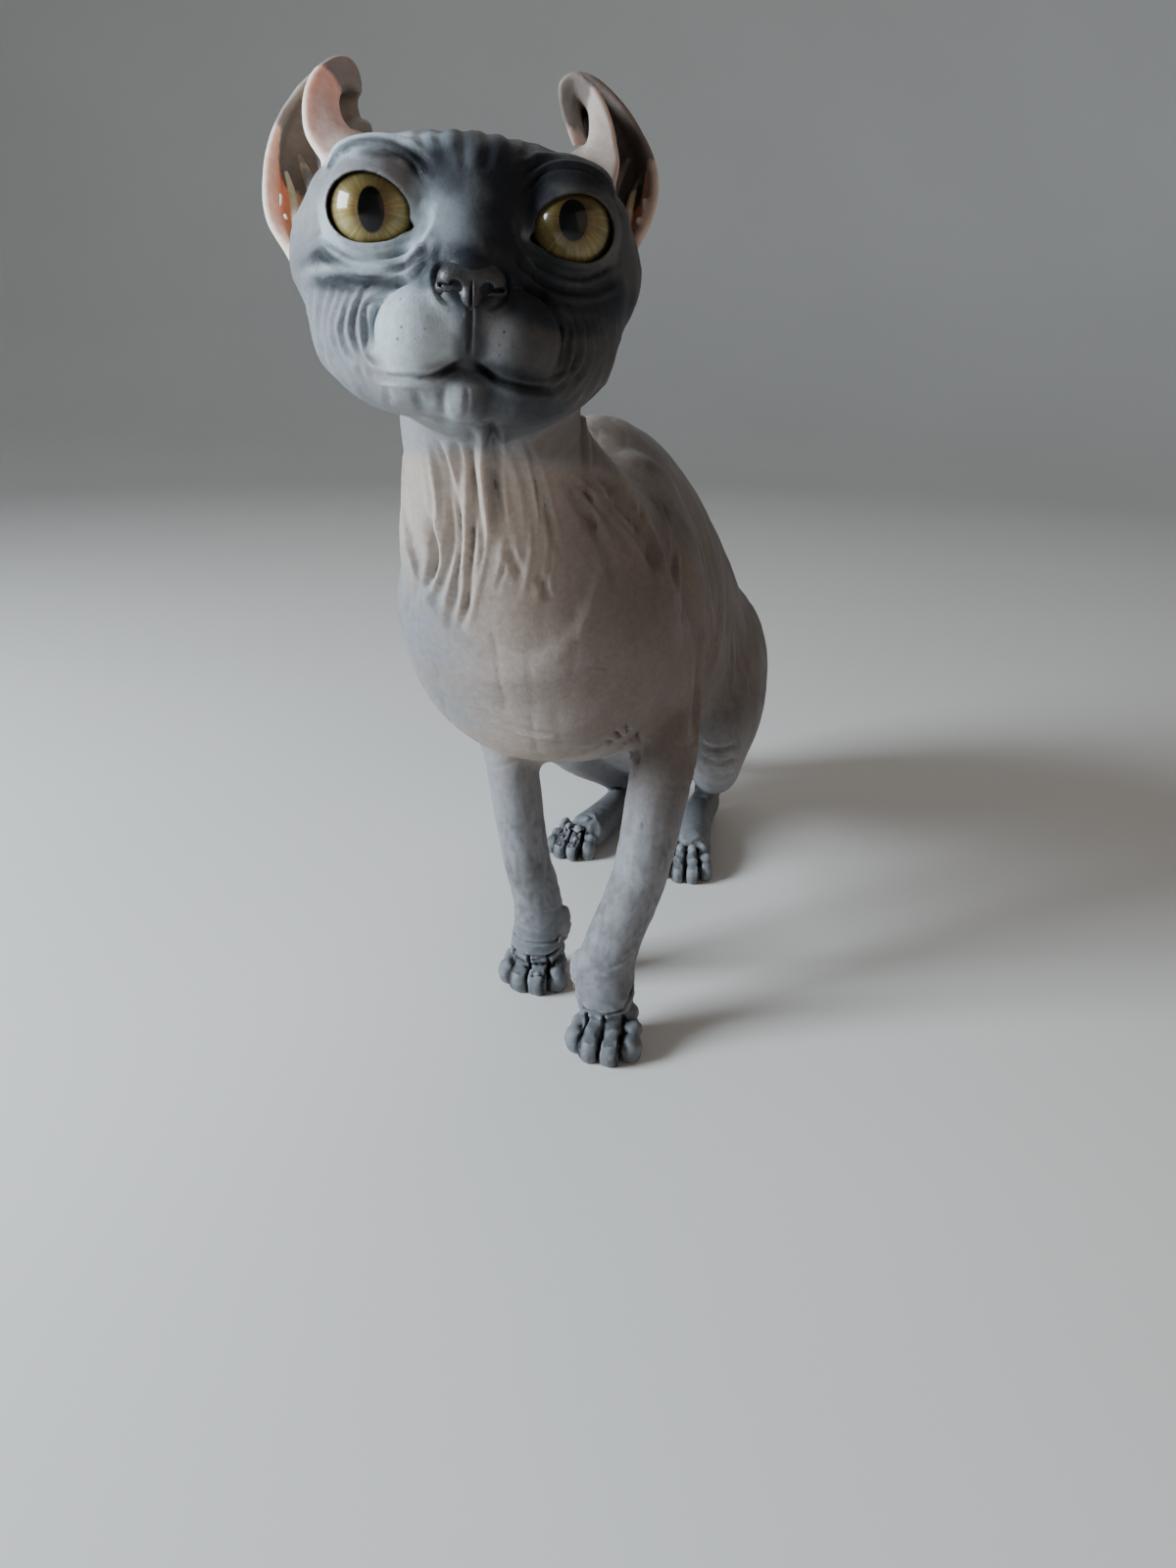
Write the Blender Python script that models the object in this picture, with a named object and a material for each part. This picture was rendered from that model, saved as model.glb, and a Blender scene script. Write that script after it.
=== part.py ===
"""Sphynx cat, life size, sitting upright with its head stretched forward.

Frame: metres, +Z up. The cat faces -Y and its left side is +X. The floor is z = 0.
The tables below are in centimetres, in a working frame whose origin is on the floor
under the middle of the back. At the end the whole cat is shifted so that the middle
of its bounding box is at x = 0, y = 0.
"""
import math

import bmesh
import bpy
import numpy as np
from mathutils import Matrix, Vector

for old in list(bpy.data.objects):
    bpy.data.objects.remove(old, do_unlink=True)

CM = 0.01
GAP = 0.0003            # clearance between neighbouring solids
FLOOR_SINK = 0.12       # how far soles reach below the floor before they are cut flat, cm

# Head placement: the middle between the two eyeballs, and the head's turn
HEAD_PLACE = Vector((0.18, -18.75, 29.47))
HEAD_YAW = math.radians(18.5)      # nose turned towards the cat's left
HEAD_PITCH = math.radians(7.0)     # nose lifted
HEAD_ROLL = math.radians(3.9)      # left eye lower than the right one
EYE_SPACING = 4.98
EYE_DROP = 0.12                    # how far the eyeballs lie below the head frame's middle
EYE_RADIUS = 1.22
EYE_OPENING = (1.06, 0.86)         # half width and half height between the lids
SOCKET_CLEARANCE = 0.08            # between the eyeball and its coarser socket, cm

# Melting: voxel size in cm, rounds of smoothing, triangles kept
HEAD_MELT = (0.14, 7, 1050)
TRUNK_MELT = (0.3, 6, 440)
ARM_MELT = (0.15, 4, 420)
FOOT_MELT = (0.15, 4, 270)
THIGH_TRIANGLES = 190
SHANK_TRIANGLES = 130

SKIN_GREY = (0.30, 0.29, 0.31)
SKIN_PINK = (0.48, 0.30, 0.25)
CHARCOAL = (0.06, 0.06, 0.07)
NOSE_BLACK = (0.02, 0.02, 0.025)
EYE_GOLD = (0.42, 0.33, 0.06)
CLAW_HORN = (0.62, 0.55, 0.45)


def material(name, colour, roughness):
    made = bpy.data.materials.new(name)
    made.use_nodes = True
    shader = made.node_tree.nodes["Principled BSDF"]
    shader.inputs["Base Color"].default_value = (*colour, 1.0)
    shader.inputs["Roughness"].default_value = roughness
    shader.inputs["Metallic"].default_value = 0.0
    return made


def new_object(name, bm, colour, roughness=0.6):
    """A node made of this bmesh, shaded smooth, with a material of its own."""
    mesh = bpy.data.meshes.new(name)
    bmesh.ops.recalc_face_normals(bm, faces=bm.faces)
    bm.to_mesh(mesh)
    bm.free()
    mesh.shade_smooth()
    made = bpy.data.objects.new(name, mesh)
    bpy.context.scene.collection.objects.link(made)
    mesh.materials.append(material(name + "_finish", colour, roughness))
    return made


# Lofts and balls, the two shapes that all the flesh is built from

CAP_ANGLES = (35, 68)           # where the rings of a rounded end lie, degrees from its rim


def smooth_path(stations, count):
    """The stations resampled to this many along a Catmull-Rom curve through them."""
    table = np.array(stations, float)
    padded = np.vstack((2 * table[0] - table[1], table, 2 * table[-1] - table[-2]))
    rows = []
    for place in np.linspace(0.0, len(table) - 1.0, count):
        start = min(int(place), len(table) - 2)
        t = place - start
        before, here, after, beyond = padded[start:start + 4]
        rows.append(0.5 * (2 * here + (after - before) * t
                           + (2 * before - 5 * here + 4 * after - beyond) * t * t
                           + (3 * here - before - 3 * after + beyond) * t ** 3))
    return np.array(rows)


def loft(stations, upward=(0, 0, 1), sides=16, count=12, caps=(0.8, 0.8)):
    """A tube with elliptical rings. A station is x, y, z, half width, half height and,
    on the trunk, how much narrower the top is than the bottom. Rounded caps close it."""
    rows = smooth_path(stations, count)
    centres = rows[:, :3]
    tangents = np.gradient(centres, axis=0)
    tangents /= np.linalg.norm(tangents, axis=1)[:, None]
    rings = []
    for row, tangent in zip(rows, tangents):
        rings.append((Vector(row[:3]), Vector(tangent), row[3], row[4], row[5] if len(row) > 5 else 0.0))
    for end, outward, bulge in ((0, -1, caps[0]), (-1, 1, caps[1])):
        place, tangent, wide, high, taper = rings[end]
        reach = 0.5 * (wide + high) * bulge
        for angle in CAP_ANGLES:
            shrink = math.cos(math.radians(angle))
            ahead = place + tangent * (outward * reach * math.sin(math.radians(angle)))
            ring = (ahead, tangent, wide * shrink, high * shrink, taper)
            if outward < 0:
                rings.insert(0, ring)
            else:
                rings.append(ring)
    bm = bmesh.new()
    loops = []
    for place, tangent, wide, high, taper in rings:
        side = tangent.cross(Vector(upward)).normalized()
        top = side.cross(tangent).normalized()
        loop = []
        for step in range(sides):
            angle = math.tau * step / sides
            across = wide * math.cos(angle) * (1 - taper * math.sin(angle))
            loop.append(bm.verts.new((place + side * across + top * (high * math.sin(angle))) * CM))
        loops.append(loop)
    for loop, following in zip(loops, loops[1:]):
        for step in range(sides):
            other = (step + 1) % sides
            bm.faces.new((loop[step], loop[other], following[other], following[step]))
    for loop, place in ((loops[0], rings[0]), (loops[-1], rings[-1])):
        pole = bm.verts.new(sum((v.co for v in loop), Vector()) / sides)
        for step in range(sides):
            bm.faces.new((loop[step], loop[(step + 1) % sides], pole))
    bmesh.ops.recalc_face_normals(bm, faces=bm.faces)
    return bm


def ball(place, radii, turn=None, fineness=3):
    """An ellipsoid at a place in cm, turned by a matrix."""
    bm = bmesh.new()
    shape = Matrix.Diagonal((*(r * CM for r in radii), 1.0))
    where = Matrix.Translation(Vector(place) * CM) @ (turn.to_4x4() if turn else Matrix()) @ shape
    bmesh.ops.create_icosphere(bm, subdivisions=fineness, radius=1.0, matrix=where)
    return bm


def joined(pieces):
    """Several closed shapes in one bmesh."""
    whole = bmesh.new()
    for piece in pieces:
        mesh = bpy.data.meshes.new("piece")
        piece.to_mesh(mesh)
        piece.free()
        whole.from_mesh(mesh)
        bpy.data.meshes.remove(mesh)
    return whole


def applied(thing):
    """The object's mesh with its modifiers applied, which are then removed."""
    graph = bpy.context.evaluated_depsgraph_get()
    mesh = bpy.data.meshes.new_from_object(thing.evaluated_get(graph))
    thing.modifiers.clear()
    old = thing.data
    thing.data = mesh
    bpy.data.meshes.remove(old)
    mesh.shade_smooth()


def fused(name, pieces, colour, melt):
    """The pieces melted into one skin, smoothed and thinned to about so many triangles."""
    voxel, smoothing, triangles = melt
    thing = new_object(name, joined(pieces), colour)
    remesh = thing.modifiers.new("melt", "REMESH")
    remesh.mode = "VOXEL"
    remesh.voxel_size = voxel * CM
    smooth = thing.modifiers.new("smooth", "SMOOTH")
    smooth.factor = 0.5
    smooth.iterations = smoothing
    applied(thing)
    thin(thing, triangles)
    return thing


def thin(thing, triangles):
    thing.data.calc_loop_triangles()
    ratio = triangles / len(thing.data.loop_triangles)
    if ratio >= 1.0:
        return
    decimate = thing.modifiers.new("thin", "DECIMATE")
    decimate.ratio = ratio
    applied(thing)


# Cuts between neighbours

def grown(thing, distance=GAP):
    """A copy of the object whose surface is moved outwards, to cut its neighbour clear."""
    copy = bpy.data.objects.new(thing.name + "_cutter", thing.data.copy())
    bpy.context.scene.collection.objects.link(copy)
    swell = copy.modifiers.new("swell", "DISPLACE")
    swell.strength = distance
    swell.mid_level = 0.0
    applied(copy)
    copy.hide_render = True
    copy.display_type = "WIRE"
    return copy


def cut_by(thing, cutters):
    """Takes each cutter's volume, grown by the gap, out of the object."""
    for cutter in cutters:
        tool = grown(cutter)
        cut = thing.modifiers.new("cut", "BOOLEAN")
        cut.operation = "DIFFERENCE"
        cut.object = tool
        cut.solver = "EXACT"
        applied(thing)
        bpy.data.objects.remove(tool, do_unlink=True)
    largest_piece(thing)


def largest_piece(thing):
    """Drops crumbs that a cut leaves, so that the node is one body."""
    bm = bmesh.new()
    bm.from_mesh(thing.data)
    bmesh.ops.remove_doubles(bm, verts=bm.verts, dist=1e-6)
    unseen = set(bm.verts)
    groups = []
    while unseen:
        seed = unseen.pop()
        group, edge = [seed], [seed]
        while edge:
            vert = edge.pop()
            for link in vert.link_edges:
                other = link.other_vert(vert)
                if other in unseen:
                    unseen.remove(other)
                    group.append(other)
                    edge.append(other)
        groups.append(group)
    groups.sort(key=len)
    for group in groups[:-1]:
        bmesh.ops.delete(bm, geom=group, context="VERTS")
    bmesh.ops.triangulate(bm, faces=bm.faces)
    bm.to_mesh(thing.data)
    bm.free()
    thing.data.shade_smooth()


def half(bm, place, normal):
    """Keeps what is behind the plane and closes the cut."""
    result = bmesh.ops.bisect_plane(
        bm, geom=bm.verts[:] + bm.edges[:] + bm.faces[:], dist=1e-7,
        plane_co=Vector(place) * CM, plane_no=Vector(normal), clear_outer=True)
    rim = [piece for piece in result["geom_cut"] if isinstance(piece, bmesh.types.BMEdge)]
    if rim:
        bmesh.ops.holes_fill(bm, edges=rim, sides=0)


def part_off(thing, name, place, normal, colour):
    """Cuts the object on a plane with the gap. What lies ahead of the plane is the new node."""
    ahead = Vector(normal).normalized()
    shift = ahead * (0.5 * GAP / CM)
    rear = bmesh.new()
    rear.from_mesh(thing.data)
    front = rear.copy()
    half(rear, Vector(place) - shift, ahead)
    half(front, Vector(place) + shift, -ahead)
    made = new_object(name, front, colour)
    bmesh.ops.recalc_face_normals(rear, faces=rear.faces)
    rear.to_mesh(thing.data)
    rear.free()
    thing.data.shade_smooth()
    largest_piece(thing)
    largest_piece(made)
    return made


def flat_sole(thing):
    """Cuts the object flat at the floor."""
    bm = bmesh.new()
    bm.from_mesh(thing.data)
    half(bm, (0, 0, 0), (0, 0, -1))
    bmesh.ops.recalc_face_normals(bm, faces=bm.faces)
    bm.to_mesh(thing.data)
    bm.free()
    thing.data.shade_smooth()


# Head, in its own frame: x towards the cat's left, y forwards to the nose, z up

HEAD_TURN = (Matrix.Rotation(HEAD_YAW, 3, "Z") @ Matrix.Rotation(-HEAD_PITCH, 3, "X")
             @ Matrix.Rotation(HEAD_ROLL, 3, "Y"))


def on_head(point):
    x, forward, up = point
    return HEAD_PLACE + HEAD_TURN @ Vector((x, -forward, up))


def head_ball(place, radii):
    return ball(on_head(place), radii, HEAD_TURN)


def pair(place, radii):
    x, forward, up = place
    return [head_ball((side * x, forward, up), radii) for side in (-1, 1)]


CENTRE_BALLS = {
    "cranium": ((0, -3.0, 0.10), (3.40, 3.70, 2.43)),
    "occiput": ((0, -4.7, -0.6), (2.90, 2.80, 2.90)),
    "forehead": ((0, -0.8, 0.75), (2.55, 1.90, 1.40)),
    "muzzle": ((0, 0.8, -2.7), (1.95, 1.75, 1.55)),
    "nose_tip": ((0, 2.25, -1.90), (0.63, 0.55, 0.50)),
    "chin": ((0, 1.10, -4.45), (0.97, 1.05, 0.75)),
    "throat": ((0, -1.6, -3.5), (2.50, 2.70, 1.90)),
}
PAIRED_BALLS = {
    "crown": ((1.45, -1.9, 1.05), (1.40, 1.85, 1.23)),
    "brow": ((2.30, -0.15, 1.02), (1.40, 1.05, 0.73)),
    "eye_corner": ((1.30, 0.20, -0.55), (0.77, 0.83, 0.97)),
    "under_eye": ((2.50, 0.00, -1.45), (1.40, 1.05, 0.77)),
    "eye_outer": ((3.55, -1.0, 0.00), (0.80, 1.10, 1.15)),
    "temple": ((2.55, -2.3, 0.70), (1.47, 2.10, 1.45)),
    "cheekbone": ((3.00, -1.2, -1.6), (1.47, 1.80, 1.50)),
    "cheek_front": ((1.95, 0.35, -1.95), (1.15, 1.00, 0.95)),
    "nose_side": ((0.85, 1.15, -1.45), (0.75, 0.90, 0.80)),
    "jowl": ((2.64, -1.5, -2.9), (1.55, 2.25, 1.53)),
    "whisker_pad": ((1.20, 1.35, -3.12), (1.17, 1.20, 1.15)),
    "jaw": ((1.15, 0.15, -4.15), (1.30, 2.00, 0.95)),
    "jaw_side": ((2.05, -0.7, -3.85), (1.25, 1.85, 1.05)),
    "ear_root": ((4.05, -2.2, -0.80), (0.80, 1.40, 1.30)),
}
NOSE_BRIDGE = ((0, 0.05, 1.0, 1.55, 0.80), (0, 0.70, 0.2, 1.30, 0.75), (0, 1.30, -0.6, 1.03, 0.67),
               (0, 1.90, -1.2, 0.79, 0.55), (0, 2.25, -1.60, 0.61, 0.47))

# Ears as guide lines from base to tip, in the head frame with x outwards:
# front rim, front wall, back wall, rear wall, rear rim
EAR_RIGHT = (
    ((3.48, -1.00, 0.80), (3.88, -1.40, 1.38), (4.27, -1.80, 1.96), (4.41, -2.10, 2.55), (4.40, -2.40, 3.16),
     (4.22, -2.60, 3.69), (3.88, -2.80, 4.07), (3.59, -3.00, 4.24), (3.37, -3.20, 4.21)),
    ((2.64, -1.60, 1.22), (2.99, -2.00, 1.81), (3.40, -2.30, 2.24), (3.65, -2.50, 2.60), (3.75, -2.70, 3.01),
     (3.72, -2.90, 3.36), (3.59, -3.10, 3.60), (3.41, -3.20, 3.70), (3.26, -3.30, 3.72)),
    ((3.10, -4.00, -0.25), (3.45, -4.40, 0.75), (2.99, -4.60, 2.80), (3.26, -4.70, 3.16), (3.37, -4.60, 3.47),
     (3.36, -4.50, 3.70), (3.31, -4.40, 3.80), (3.25, -4.30, 3.85), (3.21, -4.10, 3.85)),
    ((4.72, -4.10, -0.33), (5.00, -4.60, 0.64), (5.20, -4.80, 1.60), (5.14, -4.70, 2.41), (4.94, -4.60, 3.06),
     (4.64, -4.50, 3.52), (4.26, -4.40, 3.83), (3.90, -4.30, 3.98), (3.57, -4.20, 4.09)),
    ((4.79, -2.60, -0.92), (5.45, -3.00, 0.10), (5.59, -3.40, 1.23), (5.46, -3.60, 2.23), (5.14, -3.70, 3.03),
     (4.72, -3.70, 3.61), (4.25, -3.70, 4.05), (3.83, -3.70, 4.29), (3.49, -3.80, 4.34)),
)
EAR_LEFT = (
    ((3.62, -1.00, 1.20), (3.79, -1.40, 1.90), (3.77, -1.90, 2.51), (3.66, -2.20, 3.12), (3.43, -2.40, 3.71),
     (3.07, -2.60, 4.20), (2.70, -2.80, 4.41), (2.40, -2.95, 4.19), (2.51, -3.10, 3.60)),
    ((2.78, -1.60, 1.85), (3.12, -2.00, 2.30), (3.28, -2.40, 2.77), (3.30, -2.60, 3.22), (3.24, -2.80, 3.61),
     (3.09, -3.00, 3.88), (2.90, -3.10, 3.96), (2.83, -3.15, 3.80), (2.92, -3.20, 3.42)),
    ((2.60, -4.00, 0.70), (2.80, -4.30, 1.50), (3.37, -4.40, 3.07), (3.33, -4.50, 3.51), (3.25, -4.50, 3.82),
     (3.17, -4.40, 3.99), (3.07, -4.30, 4.03), (3.04, -4.20, 3.87), (3.09, -4.00, 3.51)),
    ((4.40, -4.20, 0.52), (4.83, -4.60, 1.59), (4.88, -4.80, 2.48), (4.66, -4.70, 3.18), (4.28, -4.60, 3.79),
     (3.80, -4.50, 4.29), (3.30, -4.40, 4.54), (2.86, -4.30, 4.54), (2.79, -4.10, 4.07)),
    ((4.51, -2.60, -0.09), (5.08, -3.00, 1.09), (5.23, -3.30, 2.05), (5.08, -3.60, 2.83), (4.67, -3.70, 3.54),
     (4.06, -3.70, 4.18), (3.35, -3.70, 4.66), (2.79, -3.80, 4.74), (2.60, -3.80, 4.31)),
)
EAR_THICKNESS = 0.20


def ear_shell(lines, side, rows=8, columns=8):
    """A curled leaf through the guide lines, thickened to a closed shell."""
    table = np.array(lines)
    along = np.array([smooth_path(line, rows) for line in table])
    bm = bmesh.new()
    grid = []
    for row in range(rows):
        arc = smooth_path(along[:, row], columns)
        grid.append([bm.verts.new(on_head((side * x, y, z)) * CM) for x, y, z in arc])
    for lower, upper in zip(grid, grid[1:]):
        for step in range(columns - 1):
            bm.faces.new((lower[step], lower[step + 1], upper[step + 1], upper[step]))
    bmesh.ops.recalc_face_normals(bm, faces=bm.faces)
    return bm


def ear(name, lines, side, head):
    thing = new_object(name, ear_shell(lines, side), SKIN_PINK)
    wall = thing.modifiers.new("wall", "SOLIDIFY")
    wall.thickness = EAR_THICKNESS * CM
    wall.offset = 0.0
    wall.use_quality_normals = True
    applied(thing)
    cut_by(thing, [head])
    return thing


def build_head():
    pieces = [head_ball(*CENTRE_BALLS[name]) for name in CENTRE_BALLS]
    for name in PAIRED_BALLS:
        pieces += pair(*PAIRED_BALLS[name])
    bridge = loft([(*on_head(row[:3]), *row[3:]) for row in NOSE_BRIDGE],
                  upward=HEAD_TURN @ Vector((0, -0.7, 0.7)), sides=12, count=6)
    pieces.append(bridge)
    head = fused("head", pieces, SKIN_GREY, HEAD_MELT)

    for side, label in ((1, "left"), (-1, "right")):
        centre = (side * 0.5 * EYE_SPACING, 0, -EYE_DROP)
        new_object("eye_" + label, ball(on_head(centre), (EYE_RADIUS,) * 3, HEAD_TURN), EYE_GOLD, 0.1)
        wide, high = EYE_OPENING
        opening = ball(on_head((centre[0], 1.25, -EYE_DROP)), (wide, 1.3, high), HEAD_TURN, 2)
        socket = ball(on_head(centre), (EYE_RADIUS + SOCKET_CLEARANCE,) * 3, HEAD_TURN, 2)
        for shape in (opening, socket):
            tool = new_object("eye_cutter", shape, SKIN_GREY)
            cut_by(head, [tool])
            bpy.data.objects.remove(tool, do_unlink=True)

    leather = ball(on_head((0, 2.60, -1.95)), (0.66, 0.45, 0.46), HEAD_TURN, 2)
    nose = new_object("nose", leather, NOSE_BLACK, 0.35)
    cut_by(head, [nose])

    ear("ear_left", EAR_LEFT, 1, head)
    ear("ear_right", EAR_RIGHT, -1, head)
    return head


# Neck and trunk: x, y, z, half width, half height, narrowing of the top

NECK = (
    (0.2, -16.6, 27.0, 3.1, 3.1), (-0.7, -14.2, 25.2, 2.95, 2.9), (-1.1, -12.3, 23.0, 3.1, 3.1),
    (-1.0, -10.4, 20.7, 4.1, 3.9), (-0.7, -8.4, 18.4, 5.2, 4.8),
)
TRUNK = (
    (-0.45, -8.8, 16.2, 5.3, 5.1, 0.00), (-0.35, -6.0, 16.2, 5.5, 6.2, 0.05),
    (0.0, -1.0, 16.2, 5.3, 7.5, 0.14), (0.5, 4.0, 15.0, 5.3, 7.2, 0.18),
    (0.9, 9.0, 12.4, 5.6, 6.6, 0.18), (1.2, 13.0, 9.2, 5.3, 6.3, 0.15), (1.2, 16.2, 6.2, 4.2, 5.2, 0.10),
)
# Partings: a point on the plane and the way towards the new node
TRUNK_PARTING = ((0.3, 2.0, 15.5), (0, -0.95, 0.3))
NECK_PARTING = ((-0.9, -10.2, 20.5), (0, -0.62, 0.78))
MOUTH_PARTING = ((0, 1.0, -4.0), (0, -0.15, -0.99))         # in the head frame
ELBOW_WAY = (0, -0.35, -0.94)
WRIST_WAY = (0, -0.25, -0.97)
TAIL_PARTINGS = (((1.9, 25.0, 0.7), (-0.2, 0.98, 0)), ((-3.0, 26.9, 0.5), (-1, 0, 0)))

# Limbs: x, y, z, half width, half depth, from the body to the foot
WRIST_HEIGHT = 3.6
ARM_LEFT = ((2.5, -3.4, 20.6, 1.4, 2.2), (3.2, -5.0, 18.4, 1.9, 2.7), (3.8, -5.5, 15.6, 1.75, 2.5),
            (4.1, -5.5, 13.0, 1.5, 2.0), (4.3, -6.4, 11.2, 1.45, 1.65), (4.25, -7.3, 9.6, 1.40, 1.45),
            (3.85, -8.7, 6.6, 1.25, 1.25), (2.95, -9.7, 4.2, 1.18, 1.12), (2.55, -10.1, 2.8, 1.22, 1.15),
            (2.75, -10.9, 1.5, 1.25, 1.15))
ARM_RIGHT = ((-3.0, -3.4, 20.2, 1.4, 2.2), (-4.1, -5.4, 18.0, 2.2, 2.9), (-4.0, -6.0, 15.4, 1.9, 2.6),
             (-3.0, -5.7, 13.0, 1.5, 2.0), (-2.4, -6.2, 11.4, 1.25, 1.6), (-2.0, -6.8, 9.6, 1.10, 1.35),
             (-1.5, -7.0, 6.4, 1.02, 1.12), (-1.1, -6.6, 4.2, 1.06, 1.05), (-1.0, -6.4, 2.8, 1.15, 1.10),
             (-1.1, -6.7, 1.5, 1.25, 1.15))
THIGH_LEFT = ((3.5, 15.6, 10.2, 1.9, 3.0), (4.4, 13.0, 9.9, 2.7, 4.5), (4.9, 10.2, 9.2, 2.6, 4.7),
              (5.1, 7.4, 8.3, 2.1, 3.7), (5.1, 5.6, 7.6, 1.6, 2.5))
SHANK_LEFT = ((5.1, 6.6, 6.7, 1.5, 1.7), (5.0, 9.2, 5.3, 1.45, 1.8), (4.6, 12.2, 3.6, 1.0, 1.4),
              (4.3, 13.9, 2.2, 0.85, 1.1))
FOOT_LEFT = ((4.2, 14.3, 1.15, 0.85, 1.15), (4.0, 12.0, 1.15, 0.90, 1.10), (4.0, 9.2, 1.10, 1.00, 1.10),
             (4.1, 7.0, 1.10, 1.20, 1.10))
THIGH_RIGHT = ((-1.1, 15.6, 10.2, 1.9, 3.0), (-2.0, 13.0, 9.9, 2.7, 4.5), (-2.5, 10.2, 9.2, 2.6, 4.7),
               (-2.8, 7.4, 8.5, 2.1, 3.6), (-2.9, 5.6, 8.0, 1.6, 2.4))
SHANK_RIGHT = ((-2.9, 6.6, 7.1, 1.4, 1.6), (-2.5, 9.2, 5.5, 1.3, 1.6), (-1.4, 12.2, 3.6, 1.0, 1.4),
               (-0.8, 13.9, 2.2, 0.85, 1.1))
FOOT_RIGHT = ((-0.6, 14.3, 1.15, 0.85, 1.15), (-0.9, 12.0, 1.15, 0.90, 1.10),
              (-1.4, 9.8, 1.10, 1.00, 1.10), (-1.8, 8.2, 1.10, 1.20, 1.10))

# A paw is four toes and a pad behind them. Offsets are sideways and forwards from the paw's middle.
TOES = ((-1.05, 0.15), (-0.40, 0.75), (0.40, 0.78), (1.05, 0.20))
TOE_RADII = (0.46, 0.86, 0.66)
CLAW_ROOT = 0.14                # how far ahead of a toe's middle its claw is rooted
CLAW_HEIGHT = 0.50
CLAW_SIDES = 5
PAWS = {
    # middle x and y, heading (0 is straight ahead, positive turns to the cat's left), size
    "front_left": ((2.85, -11.15), -4.0, 1.0),
    "front_right": ((-1.15, -6.55), -4.0, 1.0),
    "hind_left": ((4.00, 5.9), 4.0, 0.92),
    "hind_right": ((-2.40, 7.4), -12.0, 0.92),
}
DEWCLAW = {"front_left": (1.45, -10.1, 2.45), "front_right": (0.05, -6.6, 2.5)}
DEWCLAW_RADII = (0.36, 0.48, 0.36)
DEWCLAW_LENGTH = 0.6

TAIL = ((1.2, 18.6, 4.2, 1.05, 1.05), (1.5, 20.9, 2.0, 0.90, 0.90), (2.1, 23.2, 0.78, 0.76, 0.76),
        (1.6, 25.7, 0.66, 0.68, 0.68), (-0.5, 27.2, 0.60, 0.62, 0.62), (-3.2, 26.9, 0.54, 0.56, 0.56),
        (-5.0, 25.0, 0.48, 0.50, 0.50), (-5.3, 22.6, 0.42, 0.44, 0.44), (-4.2, 20.7, 0.34, 0.35, 0.35))


def paw_frame(name):
    (x, y), heading, size = PAWS[name]
    turn = math.radians(heading)
    ahead = Vector((math.sin(turn), -math.cos(turn), 0))
    across = Vector((math.cos(turn), math.sin(turn), 0))
    return Vector((x, y, 0)), ahead, across, size, Matrix.Rotation(turn, 3, "Z")


def paw_pieces(name):
    middle, ahead, across, size, turn = paw_frame(name)
    tilt = Matrix.Rotation(math.radians(14), 3, "X")
    pieces = []
    for sideways, forwards in TOES:
        centre = middle + across * (sideways * size) + ahead * (forwards * size)
        radii = [r * size for r in TOE_RADII]
        pieces.append(ball((centre.x, centre.y, radii[2] - FLOOR_SINK), radii, turn @ tilt))
    pad = middle - ahead * (0.35 * size)
    pieces.append(ball((pad.x, pad.y, 0.80 * size), (1.30 * size, 1.15 * size, 0.92 * size), turn))
    return pieces


def claw(name, place, ahead, length=0.85, radius=0.13):
    """A small hooked cone, its blunt root inside the toe and its tip just clear of the skin."""
    across = ahead.cross(Vector((0, 0, 1)))
    bm = bmesh.new()
    loops = []
    for reach, rise, thick in ((0.0, 0.0, 0.9), (0.4, 0.06, 1.0), (0.75, 0.0, 0.6)):
        centre = Vector(place) + ahead * (reach * length) + Vector((0, 0, rise * length))
        loop = []
        for step in range(CLAW_SIDES):
            angle = math.tau * step / CLAW_SIDES
            offset = across * (0.8 * math.cos(angle)) + Vector((0, 0, 1.2 * math.sin(angle)))
            loop.append(bm.verts.new((centre + offset * (radius * thick)) * CM))
        loops.append(loop)
    tip = bm.verts.new((Vector(place) + ahead * length - Vector((0, 0, 0.14 * length))) * CM)
    bm.faces.new(loops[0])
    for loop, following in zip(loops, loops[1:]):
        for step in range(CLAW_SIDES):
            other = (step + 1) % CLAW_SIDES
            bm.faces.new((loop[step], loop[other], following[other], following[step]))
    for step in range(CLAW_SIDES):
        bm.faces.new((loops[-1][step], loops[-1][(step + 1) % CLAW_SIDES], tip))
    return new_object(name, bm, CLAW_HORN, 0.35)


def claws_of(paw, name):
    middle, ahead, across, size, _ = paw_frame(name)
    made = []
    for number, (sideways, forwards) in enumerate(TOES, 1):
        root = middle + across * (sideways * size) + ahead * ((forwards + CLAW_ROOT) * size)
        made.append(claw(f"claw_{name}_{number}", (root.x, root.y, CLAW_HEIGHT * size), ahead))
    if name in DEWCLAW:
        root = Vector(DEWCLAW[name]) - Vector((0, 0, 0.1))
        made.append(claw(f"claw_{name}_dew", root, ahead, DEWCLAW_LENGTH))
    cut_by(paw, made)
    return made


def arm(side, stations, wrist_height):
    """One foreleg in three lengths: upper arm, forearm and paw."""
    paw_name = "front_" + side
    pieces = [loft(stations, upward=(0, -1, 0), sides=14, count=24)]
    pieces += paw_pieces(paw_name)
    x, y, z = DEWCLAW[paw_name]
    pieces.append(ball((x, y, z), DEWCLAW_RADII))
    whole = fused("upper_arm_" + side, pieces, SKIN_GREY, ARM_MELT)
    flat_sole(whole)
    elbow = stations[4]
    fore = part_off(whole, "forearm_" + side, elbow[:3], ELBOW_WAY, SKIN_GREY)
    wrist = (stations[-2][0], stations[-2][1], wrist_height)
    paw = part_off(fore, "paw_" + paw_name, wrist, WRIST_WAY, CHARCOAL)
    claws_of(paw, paw_name)
    return [whole, fore, paw]


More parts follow.
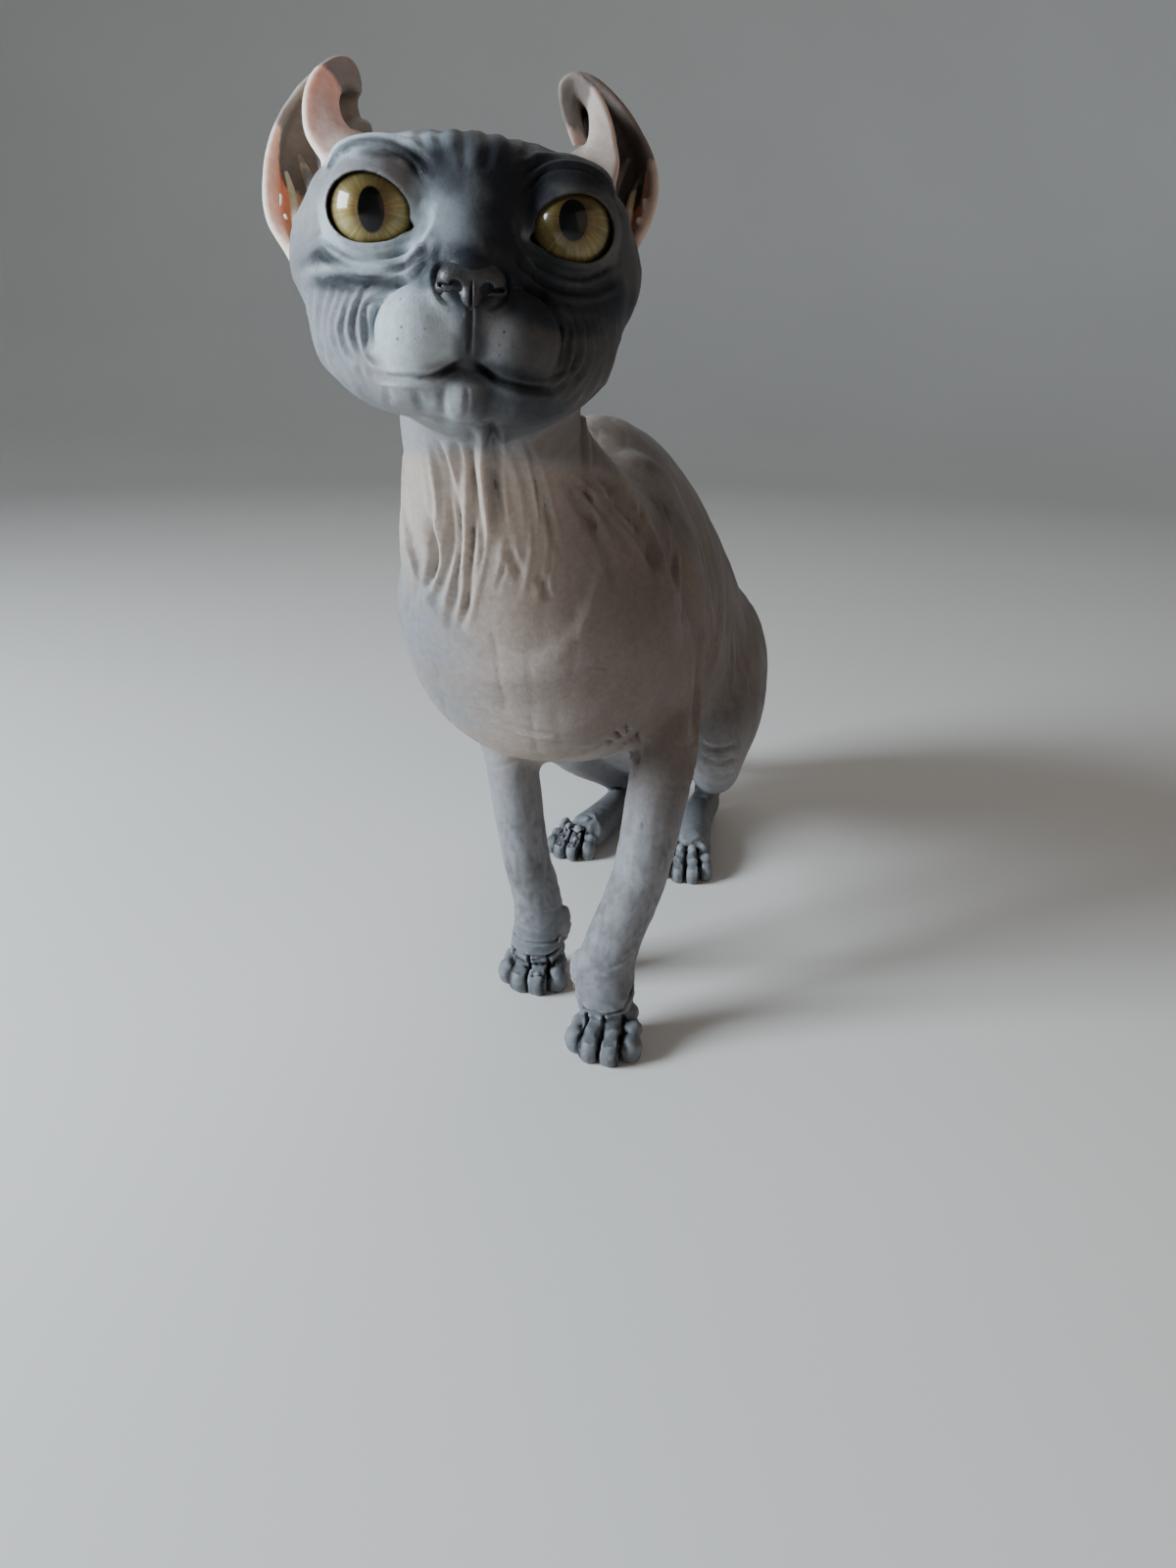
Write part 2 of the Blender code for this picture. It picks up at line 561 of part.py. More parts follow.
def leg(side, thigh_path, shank_path, foot_path):
    """One hind leg in three lengths: thigh, shank and foot."""
    paw_name = "hind_" + side
    thigh = new_object("thigh_" + side, loft(thigh_path, sides=18, count=12), SKIN_GREY)
    thin(thigh, THIGH_TRIANGLES)
    shank = new_object("shank_" + side, loft(shank_path, sides=14, count=10), SKIN_GREY)
    thin(shank, SHANK_TRIANGLES)
    pieces = [loft([(*row[:2], row[2] - FLOOR_SINK, *row[3:]) for row in foot_path], sides=14, count=12)]
    foot = fused("foot_" + side, pieces + paw_pieces(paw_name), CHARCOAL, FOOT_MELT)
    flat_sole(foot)
    cut_by(shank, [foot])
    cut_by(thigh, [shank])
    flat_sole(shank)
    claws_of(foot, paw_name)
    return [thigh, shank, foot]


def build_body(head):
    pieces = [loft(TRUNK, sides=22, count=18, caps=(0.55, 0.75)),
              loft(NECK, sides=20, count=10, caps=(0.3, 0.4))]
    rear = fused("trunk_rear", pieces, SKIN_GREY, TRUNK_MELT)
    flat_sole(rear)
    neck = part_off(rear, "neck", *NECK_PARTING, SKIN_GREY)
    front = part_off(rear, "trunk_front", *TRUNK_PARTING, SKIN_GREY)
    arms = arm("left", ARM_LEFT, WRIST_HEIGHT) + arm("right", ARM_RIGHT, WRIST_HEIGHT)
    legs = leg("left", THIGH_LEFT, SHANK_LEFT, FOOT_LEFT) + leg("right", THIGH_RIGHT, SHANK_RIGHT, FOOT_RIGHT)
    cut_by(neck, [head] + [limb for limb in arms if limb.name.startswith("upper_arm")])
    cut_by(front, arms)
    cut_by(rear, legs)

    tail = new_object("tail_base", loft(TAIL, sides=7, count=18, caps=(0.5, 0.9)), SKIN_GREY)
    flat_sole(tail)
    middle = part_off(tail, "tail_middle", *TAIL_PARTINGS[0], SKIN_GREY)
    part_off(middle, "tail_tip", *TAIL_PARTINGS[1], SKIN_GREY)
    cut_by(tail, [rear])


head_object = build_head()
build_body(head_object)
part_off(head_object, "lower_jaw", on_head(MOUTH_PARTING[0]), HEAD_TURN @ Vector(MOUTH_PARTING[1]), SKIN_GREY)

# The origin is the middle of the bounding box, at floor level
corners = np.array([thing.matrix_world @ v.co for thing in bpy.context.scene.objects
                    for v in thing.data.vertices])
low, high = corners.min(axis=0), corners.max(axis=0)
to_origin = Matrix.Translation((-0.5 * (low[0] + high[0]), -0.5 * (low[1] + high[1]), -low[2]))
for thing in bpy.context.scene.objects:
    thing.data.transform(to_origin)
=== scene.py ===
import itertools
import math

import bmesh
import bpy
import numpy as np
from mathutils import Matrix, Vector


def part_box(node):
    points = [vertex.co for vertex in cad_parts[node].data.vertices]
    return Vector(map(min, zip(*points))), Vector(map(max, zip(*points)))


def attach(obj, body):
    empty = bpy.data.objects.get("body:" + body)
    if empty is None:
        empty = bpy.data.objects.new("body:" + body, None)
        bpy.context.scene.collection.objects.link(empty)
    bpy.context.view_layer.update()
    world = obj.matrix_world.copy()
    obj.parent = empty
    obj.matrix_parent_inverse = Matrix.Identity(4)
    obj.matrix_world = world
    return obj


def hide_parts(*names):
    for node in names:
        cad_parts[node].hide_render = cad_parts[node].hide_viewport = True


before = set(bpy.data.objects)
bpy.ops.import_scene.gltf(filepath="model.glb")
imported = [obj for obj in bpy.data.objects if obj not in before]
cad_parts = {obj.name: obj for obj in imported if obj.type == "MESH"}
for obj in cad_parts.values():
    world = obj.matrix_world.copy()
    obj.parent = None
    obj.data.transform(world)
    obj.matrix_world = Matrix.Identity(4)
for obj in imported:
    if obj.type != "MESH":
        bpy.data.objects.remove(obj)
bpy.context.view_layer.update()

import openvdb as vdb
from mathutils import Matrix, Vector
from mathutils.bvhtree import BVHTree

# The camera: a wide phone-like view from just in front of and above the cat's face.
# Places on the cat are in centimetres in the cat's own frame: it faces -Y, its left is +X, z = 0 is
# the floor. CAT_SHIFT carries that frame, in metres, to the part's own origin.


def rotation(degrees, axis):
    return Matrix.Rotation(math.radians(degrees), 3, axis)


HEAD_PLACE = Vector((0.18, -18.75, 29.47))
HEAD_TURN = rotation(18.5, "Z") @ rotation(-7.0, "X") @ rotation(3.9, "Y")
EYE_PLACE = Vector((2.49, 0.0, -0.12))       # the left eyeball in the head's frame: outwards, forwards, up
EYE_RADIUS = 1.22


def on_head(point):
    x, forward, up = point
    return HEAD_PLACE + HEAD_TURN @ Vector((x, -forward, up))


eye_low, eye_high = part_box("eye_left")
CAT_SHIFT = 0.5 * (eye_low + eye_high) - on_head(EYE_PLACE) * 0.01


def in_frame(point):
    return Vector(point) * 0.01 + CAT_SHIFT


CAMERA_PLACE = Vector((9.726, -51.083, 26.5))
CAMERA_TURN = math.radians(11.0)
CAMERA_TILT = math.radians(20.6)
CAMERA_ROLL = math.radians(-0.84)
FOCUS_PIXELS = 1202.0
IMAGE = (1200.0, 1600.0)

ahead = Vector((-math.sin(CAMERA_TURN), math.cos(CAMERA_TURN), 0))
level_right = Vector((math.cos(CAMERA_TURN), math.sin(CAMERA_TURN), 0))
view_way = ahead * math.cos(CAMERA_TILT) - Vector((0, 0, math.sin(CAMERA_TILT)))
level_up = level_right.cross(view_way)
view_right = level_right * math.cos(CAMERA_ROLL) - level_up * math.sin(CAMERA_ROLL)
view_up = level_right * math.sin(CAMERA_ROLL) + level_up * math.cos(CAMERA_ROLL)

bpy.ops.object.select_all(action="DESELECT")
bpy.ops.object.camera_add(location=in_frame(CAMERA_PLACE))
camera = bpy.context.object
camera.name = "camera"
camera.matrix_world = Matrix.Translation(in_frame(CAMERA_PLACE)) @ Matrix(
    (view_right, view_up, -view_way)).transposed().to_4x4()
camera.data.lens = camera.data.sensor_width * FOCUS_PIXELS / IMAGE[1]
camera.data.clip_start = 0.01
bpy.context.scene.camera = camera

# Flesh of the trunk and neck. The whole skin is built up like clay: each mass is a closed shape turned
# into a field of distances to its surface, and the fields are melted together with a soft joint.

BODY_STEP = 0.08     # grain of the clay of the body, cm
FAR = 3.0                                    # distances beyond this aren't told apart, cm
CAP_ANGLES = (15, 30, 45, 60, 72, 82, 88)    # the rings of a rounded end, in degrees up to its pole


def smooth_path(stations, count):
    """The stations resampled to this many along a Catmull-Rom curve through them."""
    table = np.array(stations, float)
    padded = np.vstack((2 * table[0] - table[1], table, 2 * table[-1] - table[-2]))
    place = np.linspace(0.0, len(table) - 1.0, count)
    start = np.minimum(place.astype(int), len(table) - 2)
    t = (place - start)[:, None]
    before, here, after, beyond = (padded[start + step] for step in range(4))
    return 0.5 * (2 * here + (after - before) * t + (2 * before - 5 * here + 4 * after - beyond) * t ** 2
                  + (3 * here - before - 3 * after + beyond) * t ** 3)


def tube_shape(rings):
    """Points and triangles of a closed tube through rings of points, with a pole at each end."""
    rings = np.array(rings)
    count, sides = rings.shape[:2]
    points = np.vstack((rings.reshape(-1, 3), rings[0].mean(0), rings[-1].mean(0)))
    triangles = []
    for row in range(count - 1):
        for step in range(sides):
            a, b = row * sides + step, row * sides + (step + 1) % sides
            triangles += [(a, b, b + sides), (a, b + sides, a + sides)]
    for pole, first, turned in ((count * sides, 0, True), (count * sides + 1, (count - 1) * sides, False)):
        for step in range(sides):
            a, b = first + step, first + (step + 1) % sides
            triangles.append((b, a, pole) if turned else (a, b, pole))
    return points, np.array(triangles)


def loft(stations, upward=(0, 0, 1), sides=40, count=40, caps=(0.8, 0.8)):
    """A limb or trunk through elliptical stations: x, y, z, half width, half height, narrowing of the top."""
    rows = smooth_path([tuple(row) + (0.0,) * (6 - len(row)) for row in stations], count)
    tangents = np.gradient(rows[:, :3], axis=0)
    tangents /= np.linalg.norm(tangents, axis=1)[:, None]
    rings = [(row[:3], tangent, row[3], row[4], row[5]) for row, tangent in zip(rows, tangents)]
    for end, outward, bulge in ((0, -1, caps[0]), (-1, 1, caps[1])):
        place, tangent, wide, high, taper = rings[end]
        reach = 0.5 * (wide + high) * bulge
        for angle in map(math.radians, CAP_ANGLES):
            shrink = math.cos(angle)
            ring = (place + tangent * (outward * reach * math.sin(angle)),
                    tangent, wide * shrink, high * shrink, taper)
            rings.insert(0, ring) if outward < 0 else rings.append(ring)
    angles = np.arange(sides) * math.tau / sides
    loops = []
    for place, tangent, wide, high, taper in rings:
        side = np.cross(tangent, upward)
        side /= np.linalg.norm(side)
        top = np.cross(side, tangent)
        across = wide * np.cos(angles) * (1 - taper * np.sin(angles))
        loops.append(place + side * across[:, None] + top * (high * np.sin(angles))[:, None])
    return tube_shape(loops)


round_stone = bmesh.new()
bmesh.ops.create_icosphere(round_stone, subdivisions=5, radius=1.0)
STONE_POINTS = np.array([v.co for v in round_stone.verts])
STONE_FACES = np.array([[v.index for v in f.verts] for f in round_stone.faces])
round_stone.free()


def ball(place, radii, turn=None):
    points = STONE_POINTS * np.array(radii)
    if turn is not None:
        points = points @ np.array(turn).T
    return points + np.array(place), STONE_FACES


def clay(low, high, step):
    low = np.floor(np.array(low) / step).astype(int)
    high = np.ceil(np.array(high) / step).astype(int)
    return {"low": low, "step": step, "field": np.full(high - low + 1, FAR, np.float32)}


def field_of(shape, step, reach):
    """The shape's distance field, negative inside, as far as reach on both sides."""
    points, triangles = shape
    grid = vdb.FloatGrid.createLevelSetFromPolygons(
        points.astype(np.float32), triangles=triangles.astype(np.uint32),
        transform=vdb.createLinearTransform(step), halfWidth=reach / step)
    low, high = grid.evalActiveVoxelBoundingBox()
    window = np.empty(np.array(high) - np.array(low) + 1, np.float32)
    grid.copyToArray(window, ijk=low)
    return {"low": np.array(low), "step": step, "field": window}


def meeting(lump, shape, blend):
    """Where in the lump's field the shape, or a lump made before, reaches, and both fields there."""
    piece = shape if isinstance(shape, dict) else field_of(shape, lump["step"], blend + 3 * lump["step"])
    low = np.maximum(lump["low"], piece["low"])
    high = np.minimum(lump["low"] + lump["field"].shape, piece["low"] + piece["field"].shape)
    here, there = (tuple(slice(a, b) for a, b in zip(low - part["low"], high - part["low"]))
                   for part in (lump, piece))
    return here, lump["field"][here], piece["field"][there]


def press_on(lump, shape, blend, seam=0.0, seam_width=0.1):
    """Melts the shape onto the lump. A seam leaves a crease along the joint."""
    here, old, new = meeting(lump, shape, blend)
    mix = np.clip(0.5 + 0.5 * (new - old) / blend, 0, 1)
    joint = new + (old - new) * mix - blend * mix * (1 - mix)
    if seam:
        joint += seam * np.exp(-(old ** 2 + new ** 2) / (2 * seam_width ** 2))
    lump["field"][here] = joint


def press_in(lump, shape, blend):
    """Hollows the lump by the shape, with the edge rounded by the blend."""
    here, old, cutter = meeting(lump, shape, blend)
    new = -cutter
    mix = np.clip(0.5 - 0.5 * (new - old) / blend, 0, 1)
    lump["field"][here] = new + (old - new) * mix + blend * mix * (1 - mix)


def melted(shapes, blend, step, margin=0.6):
    """A small lump of these shapes."""
    everything = np.vstack([points for points, _ in shapes])
    lump = clay(everything.min(0) - margin, everything.max(0) + margin, step)
    for shape in shapes:
        press_on(lump, shape, blend)
    return lump


NECK = ((0.2, -16.6, 27.0, 3.0, 3.0), (-0.7, -14.2, 25.2, 2.85, 2.8), (-1.1, -12.3, 23.0, 3.0, 3.0),
        (-1.0, -10.4, 20.7, 4.0, 3.8), (-0.7, -8.4, 18.4, 5.1, 4.7))
TRUNK = ((-0.45, -8.8, 16.2, 5.2, 5.0, 0.00), (-0.35, -6.0, 16.2, 5.4, 6.1, 0.05),
         (0.0, -1.0, 16.2, 5.2, 7.4, 0.14), (0.5, 4.0, 15.0, 5.2, 7.1, 0.18),
         (0.9, 9.0, 12.4, 5.5, 6.5, 0.18), (1.2, 13.0, 9.2, 5.2, 6.2, 0.15), (1.2, 16.2, 6.2, 4.1, 5.1, 0.10))

TRUNK_BLEND, NECK_BLEND, SKULL_BLEND = 0.5, 1.6, 0.8     # how widely each joint is softened, cm

body = clay((-8.2, -17.0, -0.5), (8.2, 28.8, 31.0), BODY_STEP)
trunk_shape = loft(TRUNK, sides=64, caps=(0.55, 0.75))
neck_shape = loft(NECK, sides=64, caps=(0.3, 0.4))
press_on(body, trunk_shape, TRUNK_BLEND)
press_on(body, neck_shape, NECK_BLEND)

# Limbs. Each foreleg is one slim bent tube with a swell at the shoulder, elbow and wrist; each hind leg
# is a folded thigh, shank and long foot. They are x, y, z, half width and half depth, body to foot.

ARM_LEFT = ((2.5, -3.4, 20.6, 1.4, 2.2), (3.2, -5.0, 18.4, 1.9, 2.6), (3.75, -5.5, 15.6, 1.7, 2.4),
            (4.0, -5.5, 13.0, 1.45, 1.9), (4.15, -6.4, 11.2, 1.35, 1.6), (4.05, -7.3, 9.6, 1.25, 1.4),
            (3.65, -8.7, 6.6, 1.10, 1.2), (2.85, -9.7, 4.2, 1.10, 1.08), (2.55, -10.1, 2.8, 1.18, 1.10),
            (2.75, -10.7, 1.6, 1.15, 1.05))
ARM_RIGHT = ((-3.0, -3.4, 20.2, 1.4, 2.2), (-4.1, -5.4, 18.0, 2.1, 2.8), (-3.9, -6.0, 15.4, 1.8, 2.5),
             (-3.0, -5.7, 13.0, 1.45, 1.9), (-2.4, -6.2, 11.4, 1.2, 1.55), (-2.0, -6.8, 9.6, 1.05, 1.3),
             (-1.5, -7.0, 6.4, 0.98, 1.08), (-1.1, -6.6, 4.2, 1.02, 1.0), (-1.0, -6.4, 2.8, 1.12, 1.05),
             (-1.1, -6.5, 1.6, 1.15, 1.05))
THIGH_LEFT = ((3.5, 15.6, 10.2, 1.9, 3.0), (4.4, 13.0, 9.9, 2.65, 4.4), (4.9, 10.2, 9.2, 2.55, 4.6),
              (5.1, 7.4, 8.3, 2.05, 3.6), (5.1, 5.6, 7.6, 1.5, 2.4))
SHANK_LEFT = ((5.1, 6.6, 6.7, 1.4, 1.6), (5.0, 9.2, 5.3, 1.4, 1.7), (4.6, 12.2, 3.6, 0.95, 1.3),
              (4.3, 13.9, 2.2, 0.8, 1.05))
FOOT_LEFT = ((4.2, 14.3, 1.05, 0.80, 1.05), (4.0, 12.0, 1.05, 0.85, 1.02), (4.0, 9.2, 1.00, 0.95, 1.02),
             (4.1, 7.0, 1.00, 1.10, 1.02))
THIGH_RIGHT = ((-1.1, 15.6, 10.2, 1.9, 3.0), (-2.0, 13.0, 9.9, 2.65, 4.4), (-2.5, 10.2, 9.2, 2.55, 4.6),
               (-2.8, 7.4, 8.5, 2.05, 3.5), (-2.9, 5.6, 8.0, 1.5, 2.3))
SHANK_RIGHT = ((-2.9, 6.6, 7.1, 1.35, 1.5), (-2.5, 9.2, 5.5, 1.25, 1.5), (-1.4, 12.2, 3.6, 0.95, 1.3),
               (-0.8, 13.9, 2.2, 0.8, 1.05))
FOOT_RIGHT = ((-0.6, 14.3, 1.05, 0.80, 1.05), (-0.9, 12.0, 1.05, 0.85, 1.02),
              (-1.4, 9.8, 1.00, 0.95, 1.02), (-1.8, 8.2, 1.00, 1.10, 1.02))

for arm in (ARM_LEFT, ARM_RIGHT):
    press_on(body, loft(arm, upward=(0, -1, 0)), 0.7)
for thigh, shank, foot in ((THIGH_LEFT, SHANK_LEFT, FOOT_LEFT), (THIGH_RIGHT, SHANK_RIGHT, FOOT_RIGHT)):
    press_on(body, loft(thigh), 0.9)
    press_on(body, loft(shank), 0.4)
    press_on(body, loft(foot), 0.3)

# Paws: four knuckled toes over a broad pad, deep creases between them, a small dewclaw toe inside.

PAWS = {
    # middle x and y, heading (positive turns to the cat's left), size
    "front_left": ((2.85, -11.15), -4.0, 1.0),
    "front_right": ((-1.15, -6.55), -4.0, 1.0),
    "hind_left": ((4.00, 5.9), 4.0, 0.92),
    "hind_right": ((-2.40, 7.4), -12.0, 0.92),
}
TOES = ((-1.08, 0.04), (-0.40, 0.58), (0.42, 0.62), (1.10, 0.08))     # sideways, forwards
TOE_SPLAY = 0.25                             # how far the toes spread apart from root to tip
TOE_GAPS = [tuple(0.5 * (one + other) for one, other in zip(*pair)) for pair in zip(TOES, TOES[1:])]
TOE_FAN = 9                                  # degrees that a toe 1 cm off the middle is turned outwards
TOE_LUMPS = (
    # sideways as a part of the tip's place, forwards of it, up, radii, and tilt in degrees
    (1 - TOE_SPLAY, -0.62, 1.44, (0.40, 0.52, 0.42), 32), (0.95, -0.06, 1.04, (0.42, 0.46, 0.40), 30),
    (1.0, 0.42, 0.60, (0.48, 0.54, 0.52), 30), (1.0, 0.34, 0.26, (0.44, 0.52, 0.36), 0),
)
PAD_PLACE, PAD_RADII = (0, -0.35, 0.80), (1.25, 1.15, 0.88)
DEWCLAW = {"front_left": (1.45, -10.1, 2.45), "front_right": (0.05, -6.6, 2.5)}
THUMB_RISE = Vector((0, 0.15, 0.38))         # the thumb's middle above its claw, cm
THUMB_RADII = (0.34, 0.46, 0.82)
THUMB_TILT = -6                              # degrees


def paw_frame(name):
    (x, y), heading, size = PAWS[name]
    turn = math.radians(heading)
    return (Vector((x, y, 0)), Vector((math.sin(turn), -math.cos(turn), 0)),
            Vector((math.cos(turn), math.sin(turn), 0)), size, rotation(heading, "Z"))


for name in PAWS:
    middle, forward, across, size, turn = paw_frame(name)

    def on_paw(sideways, forwards, up):
        return middle + across * (sideways * size) + forward * (forwards * size) + Vector((0, 0, up * size))

    def sized(*radii):
        return [r * size for r in radii]

    press_on(body, ball(on_paw(*PAD_PLACE), sized(*PAD_RADII), turn), 0.3)
    for sideways, forwards in TOES:
        splay = turn @ rotation(TOE_FAN * sideways, "Z")
        toe = melted([ball(on_paw(part * sideways, forwards + ahead_of, rise), sized(*radii),
                           splay @ rotation(tilt, "X"))
                      for part, ahead_of, rise, radii, tilt in TOE_LUMPS], 0.09, BODY_STEP)
        press_on(body, toe, 0.04, seam=0.13, seam_width=0.10)
    if name in DEWCLAW:
        thumb = ball(Vector(DEWCLAW[name]) + THUMB_RISE, THUMB_RADII, turn @ rotation(THUMB_TILT, "X"))
        press_on(body, thumb, 0.20, seam=0.05, seam_width=0.12)

# Tail: long, thin and bare, off the rump to the floor and curled there.

TAIL = ((1.2, 16.6, 6.0, 1.5, 1.5), (1.2, 18.6, 4.2, 1.02, 1.02), (1.5, 20.9, 2.0, 0.86, 0.86),
        (2.1, 23.2, 0.78, 0.74, 0.74), (1.6, 25.7, 0.66, 0.66, 0.66), (-0.5, 27.2, 0.60, 0.60, 0.60),
        (-3.2, 26.9, 0.54, 0.54, 0.54), (-5.0, 25.0, 0.48, 0.48, 0.48), (-5.3, 22.6, 0.42, 0.42, 0.42),
        (-4.2, 20.7, 0.34, 0.33, 0.33))
press_on(body, loft(TAIL, sides=24, count=90, caps=(0.5, 0.9)), 0.6)

floor_cut = (body["low"][2] + np.arange(body["field"].shape[2])) * BODY_STEP
body["field"] = np.maximum(body["field"], -floor_cut.astype(np.float32))

# Head: skull, brows, cheeks, whisker pads, chin and jaw. Places are outwards, forwards, up in the
# head's own frame, about the middle between the eyes.

HEAD_STEP = 0.05
LID_THICKNESS = 0.15
CENTRE_MASSES = {
    "cranium": ((0, -3.0, 0.10), (3.35, 3.65, 2.38), 0.6),
    "occiput": ((0, -4.7, -0.6), (2.85, 2.75, 2.85), 0.6),
    "forehead": ((0, -0.8, 0.75), (2.50, 1.85, 1.35), 0.5),
    "muzzle": ((0, 0.8, -2.7), (1.90, 1.70, 1.50), 0.4),
    "nose_tip": ((0, 2.05, -1.92), (0.50, 0.46, 0.42), 0.30),
    "chin": ((0, 1.10, -4.45), (0.92, 1.00, 0.70), 0.22),
    "throat": ((0, -1.6, -3.5), (2.45, 2.65, 1.85), 0.7),
}
PAIRED_MASSES = {
    "crown": ((1.45, -1.9, 1.05), (1.35, 1.8, 1.18), 0.5),
    "brow": ((2.30, -0.15, 1.02), (1.35, 1.00, 0.68), 0.40),
    "eye_corner": ((1.30, 0.20, -0.55), (0.72, 0.78, 0.92), 0.35),
    "under_eye": ((2.50, 0.00, -1.45), (1.35, 1.00, 0.72), 0.45),
    "eye_outer": ((3.55, -1.0, 0.00), (0.75, 1.05, 1.10), 0.45),
    "temple": ((2.55, -2.3, 0.70), (1.42, 2.05, 1.40), 0.5),
    "cheekbone": ((3.00, -1.2, -1.6), (1.42, 1.75, 1.45), 0.6),
    "cheek_front": ((1.95, 0.35, -1.95), (1.10, 0.95, 0.90), 0.45),
    "nose_side": ((0.85, 1.15, -1.45), (0.70, 0.85, 0.75), 0.40),
    "jowl": ((2.64, -1.5, -2.9), (1.50, 2.20, 1.48), 0.6),
    "whisker_pad": ((1.22, 1.40, -3.12), (1.12, 1.15, 1.10), 0.20),
    "jaw": ((1.15, 0.15, -4.15), (1.25, 1.95, 0.90), 0.3),
    "jaw_side": ((2.05, -0.7, -3.85), (1.20, 1.80, 1.00), 0.5),
}
NOSE_BRIDGE = ((0, 0.05, 1.0, 1.50, 0.75), (0, 0.70, 0.2, 1.25, 0.70), (0, 1.30, -0.6, 0.98, 0.62),
               (0, 1.90, -1.2, 0.74, 0.50), (0, 2.25, -1.60, 0.56, 0.42))


def beside(side, place):
    """A place of the left half of the head, put on either side."""
    return on_head((side * place[0], place[1], place[2]))


def head_ball(side, place, radii, find=beside, turn=HEAD_TURN):
    return ball(find(side, place), radii, turn)


def skull_of(step):
    """The head without neck, lids and ears, in clay of this grain."""
    lump = clay((-6.5, -24.2, 20.5), (6.9, -10.5, 34.5), step)
    for place, radii, blend in CENTRE_MASSES.values():
        press_on(lump, head_ball(1, place, radii), blend)
    for place, radii, blend in PAIRED_MASSES.values():
        for side in (-1, 1):
            press_on(lump, head_ball(side, place, radii), blend)
    press_on(lump, loft([(*on_head(row[:3]), *row[3:]) for row in NOSE_BRIDGE],
                        upward=tuple(HEAD_TURN @ Vector((0, -0.7, 0.7)))), 0.4)
    return lump


head = clay((-8.0, -24.4, 18.5), (8.2, -9.5, 35.8), HEAD_STEP)
press_on(head, trunk_shape, TRUNK_BLEND)
press_on(head, neck_shape, NECK_BLEND)
press_on(head, skull_of(HEAD_STEP), SKULL_BLEND)
press_on(body, skull_of(BODY_STEP), SKULL_BLEND)

# Ears: each is one thin curled leaf through guide lines from base to tip, whose tip hooks backwards.
# The lines are the front rim, front wall, inner wall, back wall, rear wall and rear rim, with x outwards.

EAR_RIGHT = (
    ((3.48, -1.00, 0.80), (3.88, -1.40, 1.38), (4.27, -1.80, 1.96), (4.41, -2.10, 2.55), (4.40, -2.40, 3.16),
     (4.22, -2.60, 3.69), (3.88, -2.80, 4.07), (3.59, -3.00, 4.24), (3.37, -3.20, 4.21), (3.25, -3.40, 4.09)),
    ((2.64, -1.60, 1.22), (2.99, -2.00, 1.81), (3.40, -2.30, 2.24), (3.65, -2.50, 2.60), (3.75, -2.70, 3.01),
     (3.72, -2.90, 3.36), (3.59, -3.10, 3.60), (3.41, -3.20, 3.70), (3.26, -3.30, 3.72), (3.16, -3.40, 3.74)),
    ((2.65, -2.60, 1.66), (3.07, -3.20, 2.27), (3.58, -3.60, 2.62), (3.90, -3.90, 2.97), (4.02, -4.00, 3.31),
     (4.01, -4.10, 3.59), (3.83, -4.10, 3.76), (3.60, -4.00, 3.80), (3.41, -3.90, 3.81), (3.30, -3.80, 3.82)),
    ((3.10, -4.00, -0.25), (3.45, -4.40, 0.75), (2.99, -4.60, 2.80), (3.26, -4.70, 3.16), (3.37, -4.60, 3.47),
     (3.36, -4.50, 3.70), (3.31, -4.40, 3.80), (3.25, -4.30, 3.85), (3.21, -4.10, 3.85), (3.19, -3.90, 3.81)),
    ((4.72, -4.10, -0.33), (5.00, -4.60, 0.64), (5.20, -4.80, 1.60), (5.14, -4.70, 2.41), (4.94, -4.60, 3.06),
     (4.64, -4.50, 3.52), (4.26, -4.40, 3.83), (3.90, -4.30, 3.98), (3.57, -4.20, 4.09), (3.34, -4.00, 4.02)),
    ((4.79, -2.60, -0.92), (5.45, -3.00, 0.10), (5.59, -3.40, 1.23), (5.46, -3.60, 2.23), (5.14, -3.70, 3.03),
     (4.72, -3.70, 3.61), (4.25, -3.70, 4.05), (3.83, -3.70, 4.29), (3.49, -3.80, 4.34), (3.25, -3.80, 4.19)),
)
